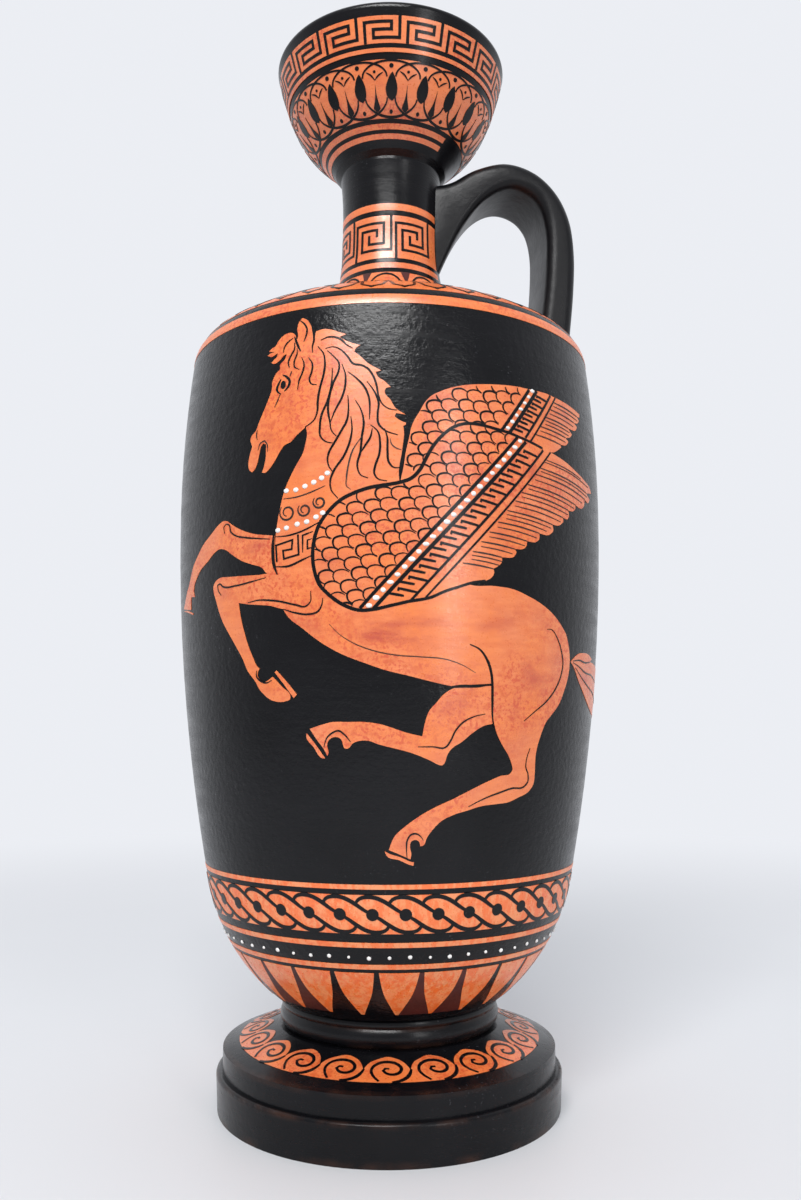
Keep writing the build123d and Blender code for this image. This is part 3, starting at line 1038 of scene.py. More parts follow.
TAIL = [
    (53.3, 116.9), (54.9, 118.0), (57.6, 119.2), (60.4, 119.6), (64.0, 119.6), (68.8, 118.5),
    (66.8, 117.7), (72.0, 117.3), (79.0, 116.3), (85.0, 113.6), (90.0, 109.0), (92.5, 103.0),
    (88.5, 105.8), (87.5, 100.5), (82.5, 103.6), (76.0, 103.9), (71.0, 105.2), (64.9, 108.0),
    (61.3, 110.3), (58.5, 112.4), (56.3, 114.6), (54.0, 116.5),
]
NEAR_WING_FRONT = [
    (23.3, 134.9), (20.0, 134.3), (16.7, 133.2), (13.3, 132.0), (10.0, 130.5), (5.0, 129.5),
    (0.8, 128.5), (-3.3, 127.6), (-6.7, 127.5), (-10.0, 128.7), (-13.3, 131.0), (-15.8, 133.7),
    (-17.1, 137.4), (-17.4, 141.2), (-16.9, 144.9), (-15.6, 148.2), (-13.3, 151.2), (-10.4, 153.7),
    (-7.5, 155.1), (-4.2, 156.2), (-0.8, 156.8), (2.9, 157.5), (5.4, 158.5), (7.5, 160.8), (8.8, 163.4),
    (10.5, 166.5), (13.0, 169.5), (15.5, 171.5), (18.5, 172.6), (22.0, 172.7), (26.0, 172.2),
    (30.0, 171.7), (33.0, 171.1), (36.0, 170.5), (40.5, 169.5),
]
NEAR_FEATHER_ENDS = [
    (44.2, 168.9), (50.0, 167.7), (54.2, 166.5), (60.0, 165.0), (64.6, 163.5), (65.4, 162.6),
    (61.0, 161.8), (63.6, 160.6), (62.9, 159.6), (59.8, 159.9), (59.5, 158.4), (57.9, 157.1),
    (54.1, 157.3), (54.0, 156.3), (53.2, 155.6), (50.3, 155.3), (50.8, 154.1), (50.3, 153.1),
    (48.0, 153.0), (48.2, 152.0), (46.7, 150.9), (43.7, 150.6), (44.0, 149.2), (42.5, 147.9),
    (38.9, 147.8), (39.0, 146.5), (38.2, 145.7), (34.9, 145.4), (34.9, 144.5), (34.3, 143.7),
    (31.3, 143.1), (31.8, 142.4), (31.2, 141.4), (27.6, 140.8), (27.7, 139.8), (26.9, 138.8),
    (25.3, 137.9), (25.6, 137.1), (25.2, 136.1),
]
FAR_WING_FRONT = [
    (3.0, 158.0), (3.7, 161.5), (4.2, 165.0), (5.0, 168.5), (5.5, 171.0), (6.2, 172.7), (7.5, 175.0),
    (8.7, 177.2), (10.0, 178.7), (12.5, 180.2), (16.0, 181.6), (20.0, 182.6), (24.0, 183.2),
    (28.0, 183.7), (33.0, 184.1), (38.0, 184.2), (43.0, 184.4), (46.0, 184.2),
]
FAR_FEATHER_ENDS = [
    (53.0, 183.7), (59.4, 182.9), (59.2, 182.0), (57.4, 181.7), (58.7, 180.9), (57.4, 179.9),
    (55.2, 179.5), (57.0, 178.8), (56.2, 177.8), (51.8, 177.2), (53.7, 175.9), (52.5, 174.9),
    (50.2, 174.3), (51.6, 173.5), (50.5, 172.4), (47.8, 171.9), (48.0, 171.2), (45.0, 169.4),
    (42.0, 168.8), (30.0, 168.0), (12.0, 166.0), (6.0, 158.0),
]

# Lines of the head, mane and limbs: width first, then the points
FIGURE_LINES = [
    # Ears and forelock
    (0.45, [(-22.3, 199.6), (-20.9, 198.4), (-20.2, 197.0), (-20.3, 195.5), (-20.9, 193.8)]),
    (0.5, [
        (-20.1, 199.5), (-18.9, 197.7), (-18.4, 195.7), (-18.2, 193.8), (-18.5, 192.3), (-18.4, 190.6),
    ]),
    (0.6, [(-23.5, 195.5), (-22.8, 193.8), (-21.6, 191.4)]),
    (0.4, [(-23.9, 195.2), (-25.3, 194.3), (-26.2, 193.1), (-26.4, 191.8)]),
    (0.45, [(-23.4, 193.9), (-23.3, 192.3), (-24.4, 190.2), (-24.8, 188.8), (-24.4, 187.5)]),
    (0.4, [(-22.6, 192.3), (-22.5, 190.9), (-23.2, 188.8), (-23.0, 187.5), (-21.7, 186.7)]),
    (0.45, [(-21.2, 189.7), (-20.5, 188.1), (-20.7, 186.1), (-21.6, 183.8), (-21.9, 181.5)]),
    (0.45, [
        (-19.4, 189.5), (-18.3, 187.7), (-18.4, 185.6), (-18.9, 183.8), (-18.4, 182.6), (-17.0, 182.2),
    ]),
    # Jaw, nostril and eye
    (0.55, [
        (-17.1, 192.1), (-15.5, 189.9), (-15.1, 187.7), (-15.3, 184.9), (-16.2, 181.0), (-16.6, 177.8),
        (-16.6, 175.6), (-17.3, 173.5), (-19.6, 171.8),
    ]),
    (0.3, [(-32.9, 172.8), (-33.1, 171.6), (-32.8, 170.3)]),
    (0.65, [(-26.2, 185.9), (-25.0, 185.2), (-24.2, 184.2), (-24.4, 182.7), (-25.5, 181.6)]),
    (0.6, [(-26.6, 184.9), (-27.3, 183.5), (-27.6, 182.2), (-26.9, 181.3), (-26.4, 181.0)]),
    (0.3, [(-23.7, 186.6), (-24.2, 185.2)]),
    (0.3, [(-26.6, 181.0), (-28.0, 177.8)]),
    # Mane
    (0.48, [
        (-16.4, 193.6), (-14.8, 194.2), (-12.6, 194.0), (-11.4, 193.4), (-9.8, 191.8), (-8.4, 190.9),
    ]),
    (0.5, [
        (-15.1, 191.3), (-13.4, 191.6), (-11.6, 190.9), (-9.8, 189.1), (-8.0, 186.8), (-6.2, 186.4),
        (-4.8, 185.6), (-3.4, 183.6), (-2.6, 181.3), (-2.1, 178.5), (-1.2, 176.5), (0.2, 175.4),
        (2.2, 175.0),
    ]),
    (0.53, [
        (-14.6, 190.7), (-13.0, 189.1), (-11.6, 187.2), (-11.6, 185.6), (-13.0, 182.0), (-13.7, 179.2),
        (-14.0, 175.6), (-13.5, 172.8), (-13.0, 170.3), (-11.9, 169.0),
    ]),
    (0.53, [
        (-13.2, 186.1), (-13.2, 184.2), (-13.4, 181.3), (-14.2, 177.8), (-15.5, 174.6), (-15.9, 171.4),
        (-15.7, 169.2), (-14.4, 167.8), (-12.5, 167.3),
    ]),
    (0.5, [
        (-10.9, 187.0), (-10.0, 184.2), (-10.0, 181.3), (-10.7, 178.5), (-12.3, 175.3), (-13.4, 172.4),
    ]),
    (0.5, [(-9.4, 184.9), (-7.3, 183.1), (-5.5, 181.0), (-4.4, 178.5), (-4.1, 175.6), (-4.2, 172.8)]),
    (0.5, [
        (-4.8, 182.2), (-3.0, 179.5), (-2.1, 177.0), (-2.3, 173.8), (-2.1, 171.7), (-0.7, 170.1),
        (2.4, 168.9),
    ]),
    (0.53, [
        (-9.3, 178.9), (-9.1, 176.0), (-9.4, 172.8), (-10.9, 169.9), (-12.3, 167.4), (-13.5, 165.3),
        (-13.9, 163.2), (-13.4, 161.4), (-12.6, 160.3),
    ]),
    (0.53, [
        (-7.5, 177.6), (-6.2, 175.3), (-5.5, 172.1), (-5.9, 168.5), (-6.2, 164.9), (-6.9, 161.4),
        (-6.2, 159.4), (-4.4, 158.5),
    ]),
    (0.53, [
        (-8.5, 173.7), (-8.2, 170.6), (-8.7, 167.4), (-10.1, 163.9), (-12.3, 160.7), (-13.2, 158.2),
        (-13.0, 156.1), (-11.4, 153.9),
    ]),
    (0.36, [(-6.0, 168.5), (-8.0, 165.3), (-8.9, 162.1), (-9.4, 158.5), (-9.4, 156.8), (-8.4, 155.9)]),
    (0.53, [
        (-3.9, 171.4), (-2.3, 169.9), (-1.7, 167.1), (-1.9, 164.2), (-2.8, 161.4), (-3.0, 159.6),
        (-2.3, 158.4), (-0.1, 157.8),
    ]),
    (0.5, [(-3.5, 170.6), (-3.9, 168.5), (-5.1, 166.4), (-6.2, 164.6)]),
    (0.53, [(-0.7, 170.5), (-0.1, 168.5), (0.0, 164.9), (0.4, 162.1), (1.5, 161.0), (2.7, 161.0)]),
    (0.28, [(0.6, 168.1), (0.9, 166.7), (2.0, 165.7), (3.2, 165.3)]),
    (0.8, [(4.7, 174.0), (4.2, 169.0), (3.6, 164.2), (2.8, 159.3), (2.9, 157.6)]),
    # Collar and chest
    (0.3, [(-25.0, 154.7), (-21.9, 154.8), (-18.0, 155.7), (-14.4, 157.1)]),
    (0.4, [(-27.0, 145.7), (-24.0, 145.7), (-20.2, 146.5), (-16.9, 147.9), (-15.7, 148.5)]),
    (0.5, [(-27.1, 138.5), (-23.6, 138.4), (-20.2, 139.6), (-17.7, 140.6)]),
    (0.85, [(-27.6, 146.4), (-27.8, 141.9), (-27.4, 138.5), (-26.6, 136.6)]),
    # Forelegs
    (0.4, [
        (-43.4, 148.3), (-43.8, 149.8), (-43.0, 150.5), (-41.7, 150.2), (-41.1, 148.5), (-39.4, 147.3),
        (-36.5, 146.5), (-32.3, 145.8), (-28.6, 145.3),
    ]),
    (0.42, [
        (-45.0, 133.0), (-46.2, 134.4), (-46.4, 135.6), (-45.5, 135.9), (-44.4, 135.2), (-39.4, 134.9),
        (-34.4, 135.4), (-29.8, 136.1),
    ]),
    (0.45, [
        (-35.5, 130.4), (-32.3, 130.8), (-29.0, 130.6), (-25.8, 130.1), (-21.7, 129.1), (-19.2, 128.7),
        (-18.1, 129.7), (-18.0, 132.2),
    ]),
    (0.45, [
        (-25.2, 128.3), (-21.7, 127.2), (-18.7, 126.8), (-16.2, 127.4), (-15.2, 129.1), (-15.0, 130.5),
    ]),
    (0.4, [(-33.3, 114.0), (-33.5, 112.7), (-32.3, 111.5), (-30.5, 111.0), (-28.9, 111.6)]),
    # End of the collar, and the mouth
    (0.4, [(-19.9, 141.4), (-19.9, 145.5), (-18.6, 145.9), (-17.3, 146.3)]),
    (0.4, [(-17.6, 144.6), (-18.7, 144.3), (-18.7, 142.3), (-17.5, 142.5)]),
    (0.3, [(-32.5, 167.6), (-31.7, 169.4), (-30.6, 169.8), (-29.8, 168.8), (-29.6, 167.0)]),
    # Belly and hind legs
    (0.24, [
        (-13.5, 124.3), (-11.2, 122.0), (-7.9, 119.9), (-2.9, 118.0), (1.7, 117.1), (7.5, 116.7),
        (13.7, 116.2), (17.9, 114.9), (21.2, 113.2),
    ]),
    (0.65, [
        (19.6, 119.8), (22.1, 118.7), (24.2, 116.2), (25.4, 113.2), (25.8, 110.5), (26.0, 106.6),
        (26.3, 102.4), (26.8, 100.4),
    ]),
    (0.7, [(13.5, 109.6), (17.5, 110.0), (21.5, 110.1), (25.9, 110.6)]),
    (0.4, [
        (42.4, 124.4), (43.8, 124.5), (46.3, 122.6), (48.5, 119.2), (49.4, 116.0), (48.8, 113.3),
        (46.7, 109.9), (43.5, 106.9), (39.5, 104.4), (35.8, 102.0),
    ]),
    (0.4, [
        (24.2, 103.6), (21.3, 103.0), (18.5, 101.7), (16.5, 99.6), (15.4, 97.4), (14.2, 95.9),
        (11.0, 96.0), (7.4, 96.0),
    ]),
    (0.4, [(-15.5, 95.9), (-14.7, 98.0), (-13.1, 99.3), (-11.7, 99.7), (-10.4, 98.9), (-8.8, 97.1)]),
    (0.4, [
        (38.5, 95.5), (37.6, 93.0), (37.5, 91.0), (38.5, 89.2), (38.6, 87.4), (37.6, 86.4),
        (33.3, 86.0), (29.6, 85.1), (26.0, 84.1), (22.8, 82.9), (20.8, 82.0),
    ]),
    (0.4, [(5.1, 70.5), (4.9, 72.8), (5.1, 74.6), (6.0, 75.8), (7.4, 76.0), (8.5, 75.4), (9.2, 74.5)]),
    # Tail
    (0.4, [(54.3, 117.2), (58.0, 117.6), (62.0, 117.2), (66.8, 117.6)]),
    (0.4, [(54.5, 116.8), (58.0, 116.0), (62.0, 114.8), (69.0, 114.2), (77.0, 112.6)]),
    (0.35, [(56.0, 115.6), (60.0, 113.4), (66.0, 111.2), (74.0, 109.4), (82.0, 107.0)]),
]

# White dots and the key on the collar
COLLAR_DOTS = [
    (-24.2, 156.6), (-21.7, 156.6), (-19.4, 157.3), (-17.2, 158.1), (-15.3, 159.0), (-13.9, 160.1),
    (-26.4, 147.2), (-24.1, 147.6), (-21.3, 148.3), (-18.9, 148.7), (-16.6, 149.7), (-15.0, 150.6),
]
COLLAR_KEY = [
    (-26.7, 139.6), (-26.9, 143.6), (-22.5, 144.6), (-22.7, 142.4), (-25.0, 142.2), (-24.8, 140.2),
    (-20.9, 141.0), (-21.1, 145.8),
]

# Thinned red wash: x, height, half width, half height, strength
WASHES = [
    (-6, 122.8, 4.5, 1.0, 0.55), (-1, 121.4, 5.5, 1.1, 0.8), (4, 120.4, 4, 0.9, 0.45),
    (2, 124.2, 7, 1.0, 0.5), (10, 125.2, 6, 1.0, 0.4), (-20, 125, 4, 1.6, 0.4),
    (-17, 122.5, 2.5, 1.2, 0.35), (14, 118.5, 6, 4, 0.25), (26, 128.5, 2.6, 1.5, 0.4),
    (29, 125.2, 3.2, 1.7, 0.5), (24, 124.2, 2.4, 1.4, 0.35), (33, 127.6, 2, 1.2, 0.35),
    (38.5, 127.4, 2.4, 1.2, 0.5), (42, 125.4, 1.8, 1.2, 0.35), (36, 114.6, 1.9, 1.6, 0.45),
    (38.6, 112, 2.2, 1.8, 0.55), (34.4, 110.6, 1.8, 1.3, 0.35), (42, 110.2, 1.5, 2.4, 0.4),
    (40, 117, 2.2, 1.6, 0.3), (33, 105, 2.5, 3, 0.3), (32, 95.4, 2.2, 2.2, 0.45),
    (36, 97.5, 1.6, 2.6, 0.35), (-32, 143.7, 2.2, 0.9, 0.7), (-34.5, 142.9, 1.2, 0.7, 0.5),
    (14, 166.5, 2.6, 2.2, 0.5), (12.4, 163, 1.6, 1.8, 0.35), (16, 161, 2.6, 4, 0.35),
    (-12, 139, 3, 2.2, 0.5), (-14.5, 135, 1.6, 1.6, 0.35), (12, 178, 3, 2.2, 0.4),
    (9, 172, 1.6, 2.2, 0.35), (44, 178, 4, 4, 0.35), (50, 180, 3.5, 2.5, 0.4), (38, 162, 3.5, 3.5, 0.4),
    (47, 160, 4, 1.8, 0.35), (28, 146, 3, 3, 0.35), (-24, 178, 1.6, 4, 0.35), (-30, 170, 2.4, 2.2, 0.4),
    (-4, 172, 3, 8, 0.3), (-10, 178, 1.6, 5, 0.3), (-19, 152, 4, 2, 0.35), (-11, 188, 3.4, 2.6, 0.4),
    (-21, 163, 1.6, 3.5, 0.3), (47, 116, 3, 6, 0.3), (14, 105, 3, 3, 0.3), (18, 106, 1.6, 2.4, 0.35),
    (-29, 109, 1.6, 1.0, 0.5), (62, 113, 5, 2, 0.45), (4, 73.8, 1.6, 1.2, 0.35),
    (24, 85.6, 3, 1.2, 0.3), (-38, 122, 1.4, 3, 0.3), (-44, 133, 1.6, 1.4, 0.3),
]

# Bands across a wing: distance from the row of dots, width of the line
WING_LINES = [(-1.15, 0.85), (1.25, 0.95), (6.3, 0.65), (8.35, 0.5)]
BAND_OVERRUN = 9

# Ends of each wing's row of dots, and the far wing's size beside the near one's
NEAR_DOT_ROW = ((-4.2, 128.5), (33.2, 170.1))
FAR_DOT_ROW = ((29.7, 172.9), (38.0, 183.9))
FAR_WING_SIZE = 0.82

# Comb between the second and the third band: its pitch, where it starts and stops, and its bars
COMB_PITCH = 2.72
COMB_START = 2.9
COMB_STOP = 1.5
COMB_BAR = Vector((3.7, -0.65))
COMB_RETURN = Vector((-4.4, 0.95))
COMB_HOOK = Vector((-0.2, -0.6))
COMB_RISE = 0.15
COMB_LINE = 0.62

# Dots on a wing: pitch, then half width and half height, each with its unevenness
WING_DOT_PITCH = 2.42
WING_DOT_WIDE, WING_DOT_WIDE_SWAY = 0.78, 0.12
WING_DOT_HIGH, WING_DOT_HIGH_SWAY = 0.55, 0.06

# Scales: one mark, the steps from scale to scale along and down the wing, and their unevenness
SCALE_MARK = [
    (3.7, 0.55), (2.6, 1.15), (1.2, 1.1), (0.2, 0.6), (-0.05, -0.4), (0.35, -1.4), (1.35, -2.0),
]
SCALE_GRID = range(-30, 40)
SCALE_ORIGIN = 150
SCALE_ALONG = (3.9, 0.3)
SCALE_DOWN = (1.45, -2.5)
SCALE_SWAY_X, SCALE_SWAY_Z = 0.22, 0.18
SCALE_LINE, SCALE_LINE_SWAY = 0.4, 0.09

# Points of the wings' fronts that bound the scales, and the ends of their bands
NEAR_SCALES = NEAR_WING_FRONT[5:33] + [(31.6, 171.0), (-4.9, 129.4)]
FAR_SCALES = FAR_WING_FRONT[:15] + [(35.8, 184.0), (27.3, 172.4)] + NEAR_WING_FRONT[32:22:-1]

# Feathers: x, height and lean of the band's edge that they leave, and how much their lines rise
NEAR_ROOT = (18.3, 140, 0.86)
FAR_ROOT = (36.5, 170.7, 0.74)
NEAR_RISE, FAR_RISE = 0.11, 0.08
FAR_FEATHERS_SEEN = 18
TOP_FEATHER_LINES = [(62.5, 163.6), (57.5, 164.9)]

# A notch between feathers steps back by this much, and the next point hardly further
NOTCH_DEPTH = 1.5
NOTCH_SLACK = 0.6

# A feather wider than this has two lines; shares of the way from notch to notch
BROAD_FEATHER = 2.6
BROAD_SHARES = (0.36, 0.7)
NARROW_SHARES = (0.52,)

# Feather lines: width, and how far from the band they begin; those on a feather run past the notch
NOTCH_LINE, NOTCH_BEGIN = 0.36, 0.2
FEATHER_LINE, FEATHER_BEGIN, TOP_BEGIN = 0.26, 2.2, 0.3
PAST_NOTCH = 1.2
SHORTEST_FEATHER_LINE = 2
RISE_AT_BAND, RISE_HALFWAY = 0.95, 0.58

# Lines thinner than this are drawn in thinned slip
FINE_WIDTH = 0.4
WING_FRONT_LINE = 0.85
COLLAR_KEY_LINE = 0.45
COLLAR_DOT = (0.72, 0.6)
EYE = (-25.9, 183.3, 0.72, 1.05)

# Coils on the collar: x, height and reach, then how each winds in
COLLAR_COILS = ((-23.9, 151.3, 2.1), (-19.5, 151.6, 1.7), (-15.8, 153.2, 1.6))
COIL_START, COIL_TURN = 2.4, 0.42
COIL_SHRINK = 0.03
COIL_POINTS = 21
COIL_LINE = 0.46


def wing_bands(wing, row, size, cover=None):
    """Lines, comb and dots across a wing; row holds the foot and head of its row of dots."""
    foot, head = (Vector(p) for p in row)
    along = (head - foot).normalized()
    across = Vector((along.y, -along.x))
    overrun = along * BAND_OVERRUN
    lines = []
    for off, width in WING_LINES:
        shift = across * off * size
        whole = [tuple(foot + shift - overrun), tuple(head + shift + overrun)]
        lines.append(stroke(kept_inside(whole, wing, cover), width, tip=0.9))

    def beside(off, z):
        """Point at a height on the line that runs off to the side of the dots."""
        point = foot + across * off * size
        return point + along * ((z - point.y) / along.y)

    comb_left, comb_right = WING_LINES[1][0], WING_LINES[2][0]
    bar_pitch = COMB_PITCH * size
    z = foot.y + COMB_START * size - (2 * bar_pitch if cover else 0)
    while z < head.y - COMB_STOP:
        root = beside(comb_left, z)
        end = beside(comb_right, z + COMB_RISE)
        turned = end + COMB_RETURN * size
        for bar in ([root, root + COMB_BAR * size], [end, turned, turned + COMB_HOOK * size]):
            hidden = cover and any(inside(tuple(p), cover) for p in bar)
            if not hidden and all(inside(tuple(p), wing) for p in bar):
                lines.append(stroke([tuple(p) for p in bar], COMB_LINE, tip=0.8))
        z += bar_pitch
    steps = round((head - foot).length / WING_DOT_PITCH)
    dots = []
    for k in range(steps + 1):
        wide = WING_DOT_WIDE + WING_DOT_WIDE_SWAY * sin(SIZE_BEAT * k)
        high = WING_DOT_HIGH + WING_DOT_HIGH_SWAY * sin(HEIGHT_BEAT * k)
        dots.append((*foot.lerp(head, k / steps), wide * size, high * size))
    return lines, dots


def scales(region, left, right, low, high):
    """Overlapping scales: each is one stroke over its top and down its left side."""
    lines = []
    for row in SCALE_GRID:
        for column in SCALE_GRID:
            sway = sin(ROW_BEAT * row + COLUMN_BEAT * column)
            x = column * SCALE_ALONG[0] + row * SCALE_DOWN[0] + SCALE_SWAY_X * sway
            z = SCALE_ORIGIN + column * SCALE_ALONG[1] + row * SCALE_DOWN[1]
            z += SCALE_SWAY_Z * sin(DRIFT_BEAT * column - row)
            if left < x < right and low < z < high:
                line = kept_inside(moved(SCALE_MARK, x, z), region)
                if line:
                    lines.append(stroke(line, SCALE_LINE + SCALE_LINE_SWAY * sway, tip=0.5))
    return lines


def feather_lines(ends, root, slope, top_ends=()):
    """Fine lines from a wing's last band to the notches between feathers and along each one."""
    root_x, root_z, lean = root

    def band_edge(z):
        """x of the last band's edge at a height."""
        return root_x + (z - root_z) * lean

    notches = []
    for before, spot, after in zip(ends, ends[1:], ends[2:]):
        if spot[0] < before[0] - NOTCH_DEPTH and after[0] > spot[0] - NOTCH_SLACK:
            notches.append(spot)
    marks = [(x, z, NOTCH_LINE, NOTCH_BEGIN) for x, z in notches]
    marks += [(x, z, FEATHER_LINE, TOP_BEGIN) for x, z in top_ends]
    for (ax, az), (bx, bz) in zip(notches, notches[1:]):
        for share in BROAD_SHARES if az - bz > BROAD_FEATHER else NARROW_SHARES:
            x = ax + (bx - ax) * share + PAST_NOTCH
            z = az + (bz - az) * share
            marks.append((x, z, FEATHER_LINE, FEATHER_BEGIN * share))
    lines = []
    for x, z, width, begin in marks:
        rise = (x - band_edge(z)) * slope
        start = band_edge(z + rise) + begin
        if x - start > SHORTEST_FEATHER_LINE:
            halfway = ((start + x) / 2, z + rise * RISE_HALFWAY)
            line = [(start, z + rise * RISE_AT_BAND), halfway, (x, z)]
            lines.append(stroke(line, width, tip=0.6))
    return lines


def collar_coil(x, z, reach):
    """Coil on the collar, winding in from its reach."""
    points = []
    for k in range(COIL_POINTS):
        radius = reach * (1 - COIL_SHRINK * k)
        turn = COIL_START + k * COIL_TURN
        points.append((x + radius * cos(turn), z + radius * sin(turn)))
    return stroke(points, COIL_LINE)


def winged_horse():
    """Leaping horse with two spread wings, in the clay colour with slip lines on it."""
    wall = Wall("body", 60, 206, ref=58.0)
    near_wing = smooth(NEAR_WING_FRONT + NEAR_FEATHER_ENDS, closed=True)
    far_wing = smooth(FAR_WING_FRONT + FAR_FEATHER_ENDS, closed=True)
    limbs = (HORSE, FAR_FORELEG, NEAR_FORELEG, FAR_HIND_LEG, TAIL, *HOOF_SOLES)
    shapes = [smooth(outline, closed=True) for outline in limbs]
    silhouettes = [*shapes, near_wing, far_wing]
    paint("horse", wall, silhouettes, CLAY, washes=WASHES, step=FIGURE_STEP)

    near_lines, near_dots = wing_bands(near_wing, NEAR_DOT_ROW, 1.0)
    far_lines, far_dots = wing_bands(far_wing, FAR_DOT_ROW, FAR_WING_SIZE, near_wing)
    lines = near_lines + far_lines
    lines.append(stroke(NEAR_WING_FRONT, WING_FRONT_LINE, tip=0.7))
    lines += scales(NEAR_SCALES, left=-20, right=34, low=125, high=175)
    lines += scales(FAR_SCALES, left=0, right=38, low=156, high=187)
    fine = feather_lines(NEAR_FEATHER_ENDS, NEAR_ROOT, NEAR_RISE, TOP_FEATHER_LINES)
    fine += feather_lines(FAR_FEATHER_ENDS[:FAR_FEATHERS_SEEN], FAR_ROOT, FAR_RISE)
    for width, points in FIGURE_LINES:
        kind = fine if width < FINE_WIDTH else lines
        kind.append(stroke(points, width))
    lines.append(stroke(COLLAR_KEY, COLLAR_KEY_LINE, straight=True))
    lines.append(disc(*EYE))
    fine += [collar_coil(*coil) for coil in COLLAR_COILS]
    paint("horse_lines", wall, lines, LINE_SLIP, LINE_LIFT)
    paint("horse_fine_lines", wall, fine, FINE_SLIP, LINE_LIFT)
    dots = near_dots + far_dots + [(*place, *COLLAR_DOT) for place in COLLAR_DOTS]
    pearls("horse_dots", wall, dots, WHITE)


# Pulled strap, section by section: outer point and inner point (radius, height), then width
STRAP = [
    ((10.6, 263.6), (10.6, 226.5), 13.8),
    ((13.4, 262.7), (15.9, 239.2), 15.4),
    ((18.0, 263.9), (21.4, 250.2), 17.0),
    ((24.8, 267.6), (27.6, 258.2), 20.0),
    ((33.8, 269.8), (34.4, 262.0), 22.0),
    ((42.8, 267.6), (40.5, 260.8), 22.0),
    ((49.6, 261.6), (44.5, 256.5), 22.0),
    ((53.7, 253.0), (46.2, 249.6), 22.0),
    ((55.0, 242.6), (46.3, 241.4), 22.0),
    ((54.6, 231.0), (45.5, 230.4), 22.0),
    ((53.4, 219.0), (44.0, 219.2), 22.0),
    ((52.0, 207.4), (42.2, 209.2), 22.0),
]
# Its rounded edge, the steps from section to section and the steps round an edge
STRAP_EDGE = 3.0
STRAP_PARTS = 9
EDGE_PARTS = 6


def glide(rows, parts):
    """Rows of numbers with smooth steps put in between them."""
    rows = np.array(rows, float)
    slope = np.gradient(rows, axis=0)
    steps = []
    for start, end, leave, arrive in zip(rows, rows[1:], slope, slope[1:]):
        steps += [ease(start, leave, end, arrive, k / parts) for k in range(parts)]
    return [*steps, rows[-1]]


def strap_section(ox, oz, ix, iz, width):
    """Rounded section of the strap between its outer and its inner point."""
    middle = Vector(((ox + ix) / 2, 0, (oz + iz) / 2))
    across = Vector((ox - ix, 0, oz - iz))
    high, wide = across.length / 2 - STRAP_EDGE, width / 2 - STRAP_EDGE
    across.normalize()
    section = []
    for corner, (side_y, side_t) in enumerate(((1, 1), (-1, 1), (-1, -1), (1, -1))):
        for k in range(EDGE_PARTS + 1):
            turn = pi / 2 * (corner + k / EDGE_PARTS)
            y = side_y * wide + STRAP_EDGE * cos(turn)
            t = side_t * high + STRAP_EDGE * sin(turn)
            section.append((middle + across * t + Vector((0, y, 0))) * MM)
    return section


def strap_handle():
    """Handle pulled in one smooth sweep from the neck over the arch to the shoulder."""
    stations = [(*outer, *inner, width) for outer, inner, width in STRAP]
    sections = [strap_section(*row) for row in glide(stations, STRAP_PARTS)]
    points = [p for section in sections for p in section]
    ring = len(sections[0])
    faces = []
    for row in range(len(sections) - 1):
        for k in range(ring):
            start, following = row * ring + k, row * ring + (k + 1) % ring
            faces.append((start, following, following + ring, start + ring))
    faces += [tuple(range(ring)), tuple(range(len(points) - ring, len(points)))]
    mesh = bpy.data.meshes.new("strap_handle")
    mesh.from_pydata(points, [], faces)
    piece = in_scene("strap_handle", mesh)
    face_outwards(piece)
    bpy.ops.object.shade_smooth_by_angle(angle=radians(ROUND_CREASE))
    mesh.materials.append(PULLED_SLIP)
    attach(piece, "root")
    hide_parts("handle")


strap_handle()
lip_key()
arcade()
cup_closing()
neck_panel()
flare_tongues()
shoulder_tongues()
braid()
dot_row()
petal_ring()
foot_waves()
winged_horse()

NODE_FINISH = {
    "foot": FOOT_SLIP,
    "foot_slip": RING_SLIP,
    "foot_ring": RING_SLIP,
    "body": BODY_SLIP,
    "neck_slip": TURNED_SLIP,
    "neck": TURNED_SLIP,
    "mouth_slip": TURNED_SLIP,
    "mouth": TURNED_SLIP,
    "handle": PULLED_SLIP,
    "handle_neck_slip": PULLED_SLIP,
    "handle_shoulder_slip": PULLED_SLIP,
}
for name, piece in nodes.items():
    piece.data.materials.clear()
    piece.data.materials.append(NODE_FINISH[name])

# Stage: the studio's colour, and its brightness behind the flask and on the viewer's side
STUDIO = (0.93, 0.95, 1.0, 1)
BEHIND_LEVEL = 0.9
VIEWER_LEVEL = 0.5
LEVEL_FROM, LEVEL_TO = -0.55, 0.5

# Floor: its side and the distances over which it fades into the studio, in metres
FLOOR_SIDE = 6
FADE_FROM, FADE_TO = 0.16, 0.75
FLOOR_TONES = ((0.74, 0.75, 0.77), (0.72, 0.73, 0.75))
FLOOR_ROUGHNESS = 0.55


def wall_level(tree, direction):
    """Brightness of the studio by direction: pale behind the flask, dimmer in front of it."""
    viewer = (cos(FRONT), sin(FRONT), 0)
    towards = node(tree, "VectorMath", {0: direction, 1: viewer}, operation="DOT_PRODUCT")
    ramp = {
        "Value": towards.outputs["Value"],
        "From Min": LEVEL_FROM,
        "From Max": LEVEL_TO,
        "To Min": BEHIND_LEVEL,
        "To Max": VIEWER_LEVEL,
    }
    return node(tree, "MapRange", ramp, interpolation_type="SMOOTHSTEP").outputs["Result"]


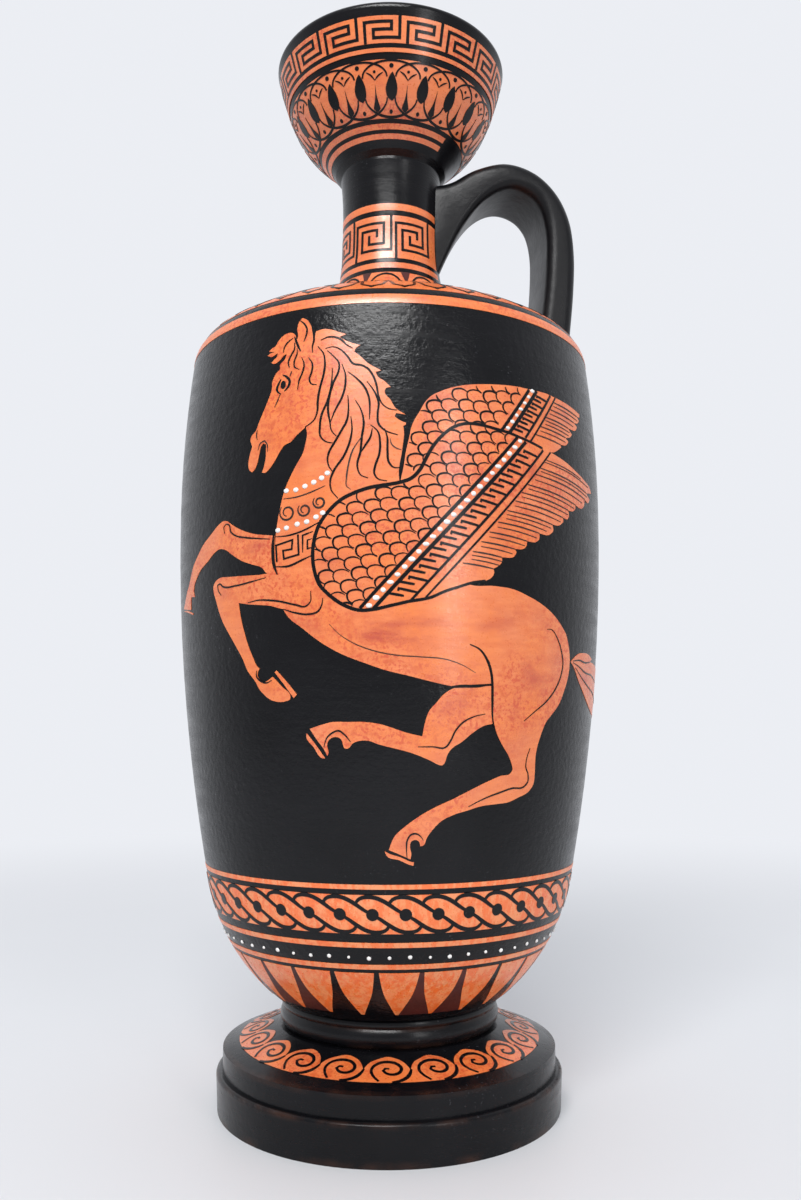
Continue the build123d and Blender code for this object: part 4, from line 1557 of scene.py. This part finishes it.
def floor_finish():
    """Pale matt floor that fades into the pale studio away from the flask."""
    skin, tree, shader = new_finish("pale_floor")
    cloud = use(tree, MOTTLE, Cloud=3.0, Speck=40.0)
    put(tree, shader.inputs["Base Color"], blend(tree, cloud["Cloud"], *FLOOR_TONES))
    shader.inputs["Roughness"].default_value = FLOOR_ROUGHNESS
    place = node(tree, "TexCoord").outputs["Object"]
    away = measure(tree, place)
    fade = above(tree, away, FADE_FROM, FADE_TO, interpolation_type="SMOOTHSTEP")
    direction = node(tree, "VectorMath", {0: place}, operation="NORMALIZE").outputs["Vector"]
    light = {"Color": STUDIO, "Strength": wall_level(tree, direction)}
    glow = node(tree, "Emission", light).outputs["Emission"]
    mixed = node(tree, "MixShader", {0: fade, 1: shader.outputs["BSDF"], 2: glow})
    put(tree, tree.nodes["Material Output"].inputs["Surface"], mixed.outputs["Shader"])
    return skin


bpy.ops.object.select_all(action="DESELECT")
bpy.ops.mesh.primitive_plane_add(size=FLOOR_SIDE, location=(0, 0, 0))
floor = bpy.context.object
floor.name = "floor"
floor.data.materials.append(floor_finish())

world = bpy.data.worlds.new("studio")
bpy.context.scene.world = world
world.use_nodes = True
air = world.node_tree
sky = air.nodes["Background"]
sky.inputs["Color"].default_value = STUDIO
outwards = node(air, "TexCoord").outputs["Generated"]
put(air, sky.inputs["Strength"], wall_level(air, outwards))

# Lamps face this point on the flask's axis
LAMP_TARGET = Vector((0, 0, 0.17))


def lamp(name, turn, rise, away, wide, high, power):
    """Soft panel that faces the flask; turn is counted from the viewer, in degrees."""
    data = bpy.data.lights.new(name, "AREA")
    data.shape = "RECTANGLE"
    data.size, data.size_y = wide, high
    data.energy = power
    piece = in_scene(name, data)
    azimuth = FRONT + radians(turn)
    flat = away * cos(radians(rise))
    reach = Vector((flat * cos(azimuth), flat * sin(azimuth), away * sin(radians(rise))))
    piece.location = LAMP_TARGET + reach
    piece.rotation_euler = (-reach).to_track_quat("-Z", "Y").to_euler()


lamp("window", turn=-10, rise=41, away=1.3, wide=0.7, high=0.3, power=14)
lamp("side_wall", turn=32, rise=8, away=1.4, wide=0.18, high=0.8, power=3)

# Camera: distance, height and tilt give the photograph's perspective
CAMERA_AWAY = 0.296
CAMERA_HIGH = 0.1002
CAMERA_RISE = 7.11
CAMERA_ASIDE = 0.00305
CAMERA_NEAREST = 0.01
FOCUS_PX = 1030
FRAME_HIGH = 1200
SENSOR = 36
view = bpy.data.cameras.new("camera")
view.sensor_width = SENSOR
view.lens = FOCUS_PX / FRAME_HIGH * SENSOR
view.clip_start = CAMERA_NEAREST
camera = in_scene("camera", view)
camera.location = (
    CAMERA_AWAY * cos(FRONT) - CAMERA_ASIDE * sin(FRONT),
    CAMERA_AWAY * sin(FRONT) + CAMERA_ASIDE * cos(FRONT),
    CAMERA_HIGH,
)
camera.rotation_euler = (radians(90 + CAMERA_RISE), 0, FRONT + pi / 2)
bpy.context.scene.camera = camera
bpy.context.scene.view_settings.view_transform = "Standard"
